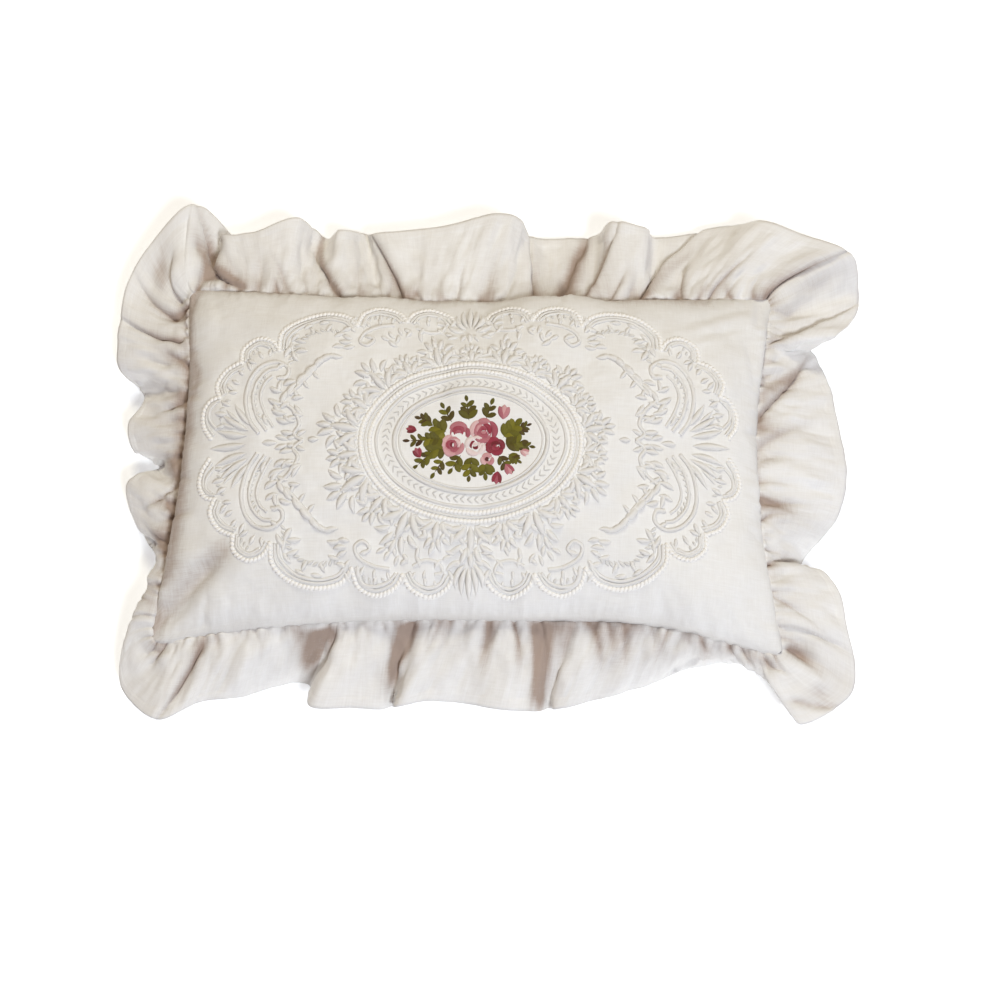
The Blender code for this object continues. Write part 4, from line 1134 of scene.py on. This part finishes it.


def wovenCotton(name, light, deep, pitch, slub, roughness, weight, paintedShadeStrength):
    # plain weave on the piece's own cloth coordinates: warp over weft, slubs in both, a little mottling
    made, wire, inputs = newMaterial(name, {"Roughness": roughness, "Sheen Weight": 0.18,
                                            "Sheen Roughness": 0.55})
    cloth = wire.node("ShaderNodeUVMap", {"uv_map": "cloth"})
    apart = wire.node("ShaderNodeSeparateXYZ", None, {0: cloth})
    across, along = apart, apart.other("Y")

    def noise(x, y, scale, detail=2.0):
        return wire.node("ShaderNodeTexNoise", {"noise_dimensions": "2D"},
                         {"Vector": wire.vector(across * x, along * y), "Scale": scale, "Detail": detail})

    drift = noise(1, 1, 120.0) * (0.6 * pitch)
    warp = wire.math("SINE", (across + drift) * (math.pi / pitch))
    weft = wire.math("SINE", (along + drift) * (math.pi / pitch))
    over = wire.node("ShaderNodeMapRange", {"interpolation_type": "SMOOTHSTEP"},
                     {0: warp * weft, 1: -0.35, 2: 0.35, 3: 0.0, 4: 1.0})
    threads = over * abs(warp) + (1 - over) * abs(weft)
    thickWarp, thickWeft = noise(1.0, 0.05, 1100.0, 1.0), noise(0.05, 1.0, 1100.0, 1.0)
    slubs = (thickWarp + thickWeft) * 0.5 + noise(0.25, 1.0, 420.0) * 0.35 + noise(1.0, 0.25, 420.0) * 0.35
    mottle = noise(1, 1, 16.0, 4.0)
    place = wire.node("ShaderNodeTexCoord", None, None, "Object")
    crumple = wire.node("ShaderNodeTexNoise", None,
                        {"Vector": place, "Scale": 46.0, "Detail": 5.0, "Roughness": 0.55})
    tone = (slubs - 0.85) * slub + (mottle - 0.5) * 0.55 + threads * 0.16 + 0.42
    # painted shade: the colour turns darker and warmer where the sunk attribute paints it
    paintedShadeAmount = wire.node("ShaderNodeAttribute", {"attribute_name": "sunk"}, None, "Fac")
    warm = tuple(part * c for part, c in zip(paintedShadeTint, deep))
    colour = wire.node("ShaderNodeValToRGB", {"stops": [(0.0, warm), (0.5, deep), (1.0, light)]},
                       {0: 0.5 + tone * 0.5 - paintedShadeAmount * paintedShadeStrength})
    wire.tree.links.new(colour.socket, inputs["Base Color"])
    fine = wire.node("ShaderNodeBump", None, {"Strength": 0.7, "Distance": 0.00012 * weight,
                                              "Height": threads * 0.5 + slubs * 0.8})
    soft = wire.node("ShaderNodeBump", None, {"Strength": 0.5, "Distance": 0.0016 * weight, "Height": crumple,
                                              "Normal": fine})
    wire.tree.links.new(soft.socket, inputs["Normal"])
    return made


panelCotton = wovenCotton("creamPanelCotton", fromPaint(241, 241, 241), fromPaint(223, 221, 218),
                          0.00062, 0.7, 0.88, 1.0, 0.6)
ruffleCotton = wovenCotton("creamRuffleCotton", fromPaint(247, 247, 247), fromPaint(223, 220, 217),
                           0.00048, 0.6, 0.86, 1.25, 0.72)
cushion.data.materials.append(panelCotton)
ruffle.data.materials.append(ruffleCotton)
creamThread = threadMaterial("creamThread", [(0, fromPaint(242, 240, 237))], 0.5, 0.00042)
leafThread = threadMaterial("oliveThread", [
    (0.00, fromPaint(70, 42, 18)), (0.14, fromPaint(80, 62, 18)), (0.35, fromPaint(92, 86, 14)),
    (0.55, fromPaint(110, 105, 18)), (0.75, fromPaint(132, 124, 28)), (0.95, fromPaint(166, 152, 64)),
], 0.6, 0.0004)
roseThread = threadMaterial("roseThread", [
    (0.00, fromPaint(78, 32, 28)), (0.14, fromPaint(122, 36, 46)), (0.30, fromPaint(158, 50, 70)),
    (0.46, fromPaint(180, 101, 113)), (0.64, fromPaint(213, 153, 157)), (0.82, fromPaint(236, 203, 202)),
    (1.00, fromPaint(244, 232, 230)),
], 0.48, 0.0004)

middle = np.array(whiteworkValues["middle"])
ringMiddle = np.array(medallion["middle"])
ropes = mirrored([(smoothLine(points), False, {"halfWidth": half}) for half, points in ropedLines])
ringRopes = [(ovalLine(a, b), True, {"halfWidth": half}) for a, b, half in medallion["ropedOvals"]]
cords = mirrored([(smoothLine(points), False, {"halfWidth": half}) for half, points in plainLines])
cords += mirrored([(besideLine(smoothLine(points), 3.5), False, {"halfWidth": 1.1})
                   for _, points in ropedLines])
ringCords = [(ovalLine(a, b), True, {"halfWidth": half}) for a, b, half in medallion["plainOvals"]]
crests, hooks = crestStrokes()
pads = mirrored(strokeRuns(padStrokes)) + mirrored(strokeRuns(shortAxisStrokes), ((1, 1), (1, -1)))
pads += mirrored(strokeRuns(longAxisStrokes), ((1, 1), (-1, 1))) + cords
ringPads = strokeRuns(crests) + hooks + ringCords
fringes = [(smoothLine(points) * turn, False,
            {"leafLength": length, "leafWidth": width, "lean": math.radians(lean) * turn[0] * turn[1]})
           for length, width, lean, points in fringeLines for turn in quarters]
laurelLength, laurelWidth, laurelLean = medallion["laurelLeaf"]
laurel = [(ovalLine(*medallion["laurelOval"]), True,
           {"leafLength": laurelLength, "leafWidth": laurelWidth, "lean": hand * math.radians(laurelLean)})
          for hand in (-1, 1)]

beadTree, satinTree, fringeTree = beadedCordTree(), satinStrokeTree(), leafFringeTree()
leaf = leafShape("leafShape")
sewn = {"Ground": cushion, "Thread": creamThread}
padded = {**sewn, "Loft": whiteworkValues["satinLoft"]}
leafy = {**sewn, "Leaf": leaf, "Unevenness": whiteworkValues["leafUnevenness"]}
rope = growMesh(pathHost("ropeLines", inMetres(ropes, middle) + inMetres(ringRopes, ringMiddle)), beadTree, {
    **sewn, "Pitch": whiteworkValues["beadPitch"] / 1000, "Overlap": whiteworkValues["beadOverlap"],
    "Slant": math.radians(whiteworkValues["beadSlant"]), "Height": whiteworkValues["beadHeight"]},
    "ropedCords")
whitework = growMesh(pathHost("padLines", inMetres(pads, middle)), satinTree, padded, "paddedWhitework")
wreath = growMesh(pathHost("wreathLines", inMetres(ringPads, ringMiddle)), satinTree, padded,
                  "medallionWreath")
sprigs = growMesh(pathHost("fringeLines", inMetres(fringes, middle)), fringeTree, {
    **leafy, "Pitch": whiteworkValues["leafPitch"] / 1000, "Seed": whiteworkValues["seed"]},
    "whiteworkLeaves")
laurels = growMesh(pathHost("laurelLines", inMetres(laurel, ringMiddle)), fringeTree, {
    **leafy, "Pitch": medallion["laurelPitch"] / 1000, "Seed": medallion["seed"]}, "laurelRing")
print("embroidery: faces", *(len(made.data.polygons) for made in (rope, whitework, wreath, sprigs, laurels)))

print("embroidery: stitching the bouquet")
# Sprays of leaves in pairs, growing out from under the roses. Lengths in millimetres.
bouquetSprays = [
    # root x, root y, heading, stem, pairs, leaf length, leaf width, shade
    (-17, -6, 176, 15, 4, 9.5, 4.8, 0.52), (-17, 0, 152, 12, 3, 9.5, 4.4, 0.5),
    (-18, -12, 198, 12, 3, 9.5, 4.4, 0.44), (-28, 8, 160, 9, 3, 7.5, 3, 0.24),
    (-33, -6, 182, 12, 2, 7.5, 2.8, 0.16), (-29, -17, 222, 13, 2, 8, 3.4, 0.36),
    (-19, -21, 238, 13, 2, 8, 3.4, 0.4), (-13, 8, 118, 13, 2, 9, 3.8, 0.36),
    (0, 9, 96, 15, 3, 9, 3.8, 0.44), (13, 10, 72, 12, 2, 8.5, 3.6, 0.34),
    (-6, -18, 238, 12, 2, 9, 4, 0.42), (2, -19, 264, 15, 3, 8.5, 4, 0.5),
    (12, -24, 272, 8, 2, 9, 4.2, 0.44), (22, -18, 308, 13, 2, 8, 3.4, 0.34),
    (26, -4, 44, 13, 3, 9.5, 4.8, 0.54), (27, -9, 8, 12, 3, 9, 4.4, 0.44),
    (36, 1, 28, 9, 3, 6.5, 2.4, 0.18), (36, -9, 350, 10, 3, 6.5, 2.6, 0.26),
    (30, -17, 326, 8, 3, 6.5, 2.8, 0.32),
]
# Buds: where each springs from, which way it points, its length and shade.
bouquetBuds = [(-40, 2, 168, 8.5, 0.12), (-37, -20, 116, 9.0, 0.20), (26, 10, 84, 12.0, 0.46),
               (22, -31, 262, 10.0, 0.18), (28, -25, 300, 9.5, 0.40), (39, -13, 328, 8.0, 0.60)]


def sprayStrokes():
    # each stem with its leaf pairs, smaller to the tip, where a single leaf ends it
    chance = np.random.default_rng(12)
    strokes = []
    for x, y, heading, stem, pairs, length, width, shade in bouquetSprays:
        onX, onY = math.cos(math.radians(heading)), math.sin(math.radians(heading))
        strokes.append((x, y, heading, stem, 0.9, 0, 0.14))
        for number in range(pairs + 1):
            share = (number + 0.35) / (pairs + 0.35)
            for turn in (0,) if number == pairs else (-46, 44):
                size = (1.06 - 0.34 * share) * chance.uniform(0.86, 1.14)
                tone = min(0.9, max(0.04, shade + chance.uniform(-0.2, 0.2) - 0.16 * (number == pairs)))
                lean = heading + turn + chance.uniform(-9, 9)
                strokes.append((x + stem * share * onX, y + stem * share * onY, lean, length * size,
                                width * size, turn * 0.3, tone))
    return strokes


def budStrokes():
    # three petals to a bud, the outer two spread a little and the nearer one paler
    return [(x, y, heading + turn, length * reach, length * 0.42, turn * 0.4, min(1.0, shade + paler))
            for x, y, heading, length, shade in bouquetBuds
            for turn, reach, paler in ((20, 0.92, 0.0), (-20, 0.92, 0.10), (0, 1.0, 0.22))]


# Petals as crescents round each rose's middle: radius, from and to angles, width and shade.
roses = {
    "leftLow": ((-12, -10), [
        (7.4, 95, 205, 4.2, 0.74), (7.6, 190, 292, 4.6, 0.68), (7.2, 276, 372, 4.2, 0.60),
        (4.6, 120, 238, 3.4, 0.34), (4.4, -30, 84, 3.2, 0.80), (4.6, 232, 338, 3.6, 0.44),
        (2.0, 80, 272, 2.8, 0.16), (1.7, -90, 92, 2.4, 0.50),
        (5.8, 0, 358, 2.8, 0.62), (3.2, 0, 358, 2.8, 0.40)]),
    "leftHigh": ((-8, -1), [
        (7.6, 28, 152, 4.8, 0.52), (4.4, 12, 168, 4.8, 0.36), (7.4, -28, 40, 4.0, 0.40),
        (1.8, 0, 190, 3.4, 0.46), (3.0, -20, 200, 3.0, 0.34), (6.0, -24, 200, 2.6, 0.48)]),
    "top": ((11, 1), [
        (8.8, 108, 214, 4.2, 0.78), (8.4, 52, 122, 4.0, 0.56), (8.8, -42, 58, 5.2, 0.38),
        (7.8, 208, 322, 5.0, 0.50), (4.4, 186, 330, 4.6, 0.44), (4.8, -30, 92, 4.0, 0.28),
        (4.6, 100, 190, 3.6, 0.66), (1.8, 0, 200, 3.2, 0.34), (1.6, 180, 380, 3.0, 0.56),
        (3.2, 0, 358, 2.8, 0.42), (6.4, 0, 358, 2.8, 0.52)]),
    "right": ((20, -11), [
        (5.6, 58, 164, 4.6, 0.30), (5.8, 150, 254, 4.6, 0.22), (5.8, 240, 342, 4.8, 0.27),
        (5.6, -34, 72, 4.6, 0.18), (2.8, 20, 190, 3.6, 0.12), (2.6, 190, 370, 3.4, 0.32),
        (1.0, 0, 358, 2.6, 0.26), (4.2, 0, 358, 2.8, 0.22)]),
    "white": ((5, -11), [
        (6.4, 12, 108, 4.8, 0.94), (6.4, 98, 204, 4.8, 0.99), (6.6, 192, 292, 4.8, 0.92),
        (6.4, 282, 380, 4.8, 0.97), (3.6, 96, 218, 2.2, 0.20), (3.2, -60, 60, 3.2, 0.93),
        (2.0, 200, 370, 2.6, 0.14), (1.2, 20, 190, 2.6, 0.88)]),
    "small": ((14, -22), [
        (3.9, 30, 162, 3.4, 0.66), (3.9, 148, 268, 3.4, 0.74), (4.0, 258, 392, 3.4, 0.60),
        (0.9, 0, 350, 2.8, 0.04), (2.4, 0, 358, 2.2, 0.66)]),
}


def petalRuns():
    runs = []
    for (x, y), petals in roses.values():
        for radius, begin, end, width, shade in petals:
            angle = np.radians(np.linspace(begin, end, 11))
            line = np.column_stack([x + radius * np.cos(angle), y + radius * np.sin(angle)])
            runs.append((line, False, {"halfWidth": leafSwell(11, 0.5) ** 0.7 * width / 2, "shade": shade}))
    return runs


leafRuns = inMetres(strokeRuns(sprayStrokes(), 0.5, 1.24, 0.5))
petals = inMetres(strokeRuns(budStrokes(), 0.5, 1.1, 0.6) + petalRuns())
greens = growMesh(pathHost("leafLines", leafRuns), satinTree,
                  {"Ground": cushion, "Loft": 0.34, "Thread": leafThread}, "bouquetLeaves")
blooms = growMesh(pathHost("petalLines", petals), satinTree,
                  {"Ground": cushion, "Loft": 0.42, "Thread": roseThread}, "bouquetRoses")
bpy.data.objects.remove(leaf)

print("stage: floor, light and camera")
floorValues = {"size": 14.0, "under": 0.0006}
square = np.array([[-1, -1, 0], [1, -1, 0], [1, 1, 0], [-1, 1, 0]])
floor = newObject("floor", square * floorValues["size"] / 2 - [0, 0, floorValues["under"]], [(0, 1, 2, 3)])
paper, _, _ = newMaterial("palePaper", {
    "Base Color": (0.97, 0.97, 0.97, 1), "Roughness": 0.9, "Emission Color": (0.92, 0.965, 1.0, 1),
    "Emission Strength": 0.4})
floor.data.materials.append(paper)

lightValues = [
    # name, place, size, power, colour
    ("windowKey", (0.96, -1.66, 2.44), 0.7, 66, (0.88, 0.94, 1.0)),
    ("warmTop", (-0.33, 1.88, 2.44), 0.8, 42, (1.0, 0.95, 0.76)),
]
lightAim = (0.0, 0.0, 0.05)
for name, place, size, power, colour in lightValues:
    lamp = bpy.data.lights.new(name, "AREA")
    lamp.shape = "SQUARE"
    lamp.size = size
    lamp.energy = power
    lamp.color = colour
    holder = linked(name, lamp)
    holder.location = place
    holder.rotation_euler = (Vector(lightAim) - Vector(place)).to_track_quat("-Z", "Y").to_euler()
world = bpy.data.worlds.new("studio")
world.use_nodes = True
world.node_tree.nodes["Background"].inputs["Color"].default_value = (1.0, 0.72, 0.62, 1)
world.node_tree.nodes["Background"].inputs["Strength"].default_value = 0.17
bpy.context.scene.world = world
bpy.context.scene.view_settings.view_transform = "Standard"

cameraValues = {"tilt": 17.0, "distance": 1.25, "aim": (0.0237, -0.0370, 0.0500), "lens": 56.95}
lens = bpy.data.cameras.new("camera")
lens.lens = cameraValues["lens"]
camera = linked("camera", lens)
tilt = math.radians(cameraValues["tilt"])
gaze = Vector((0, math.sin(tilt), -math.cos(tilt)))
camera.location = Vector(cameraValues["aim"]) - gaze * cameraValues["distance"]
camera.rotation_euler = (tilt, 0, 0)
bpy.context.scene.camera = camera

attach(ruffle, "root")
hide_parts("ruffle")
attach(cushion, "root")
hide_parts("cushion")
for piece in (rope, whitework, wreath, sprigs, laurels, greens, blooms):
    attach(piece, "root")
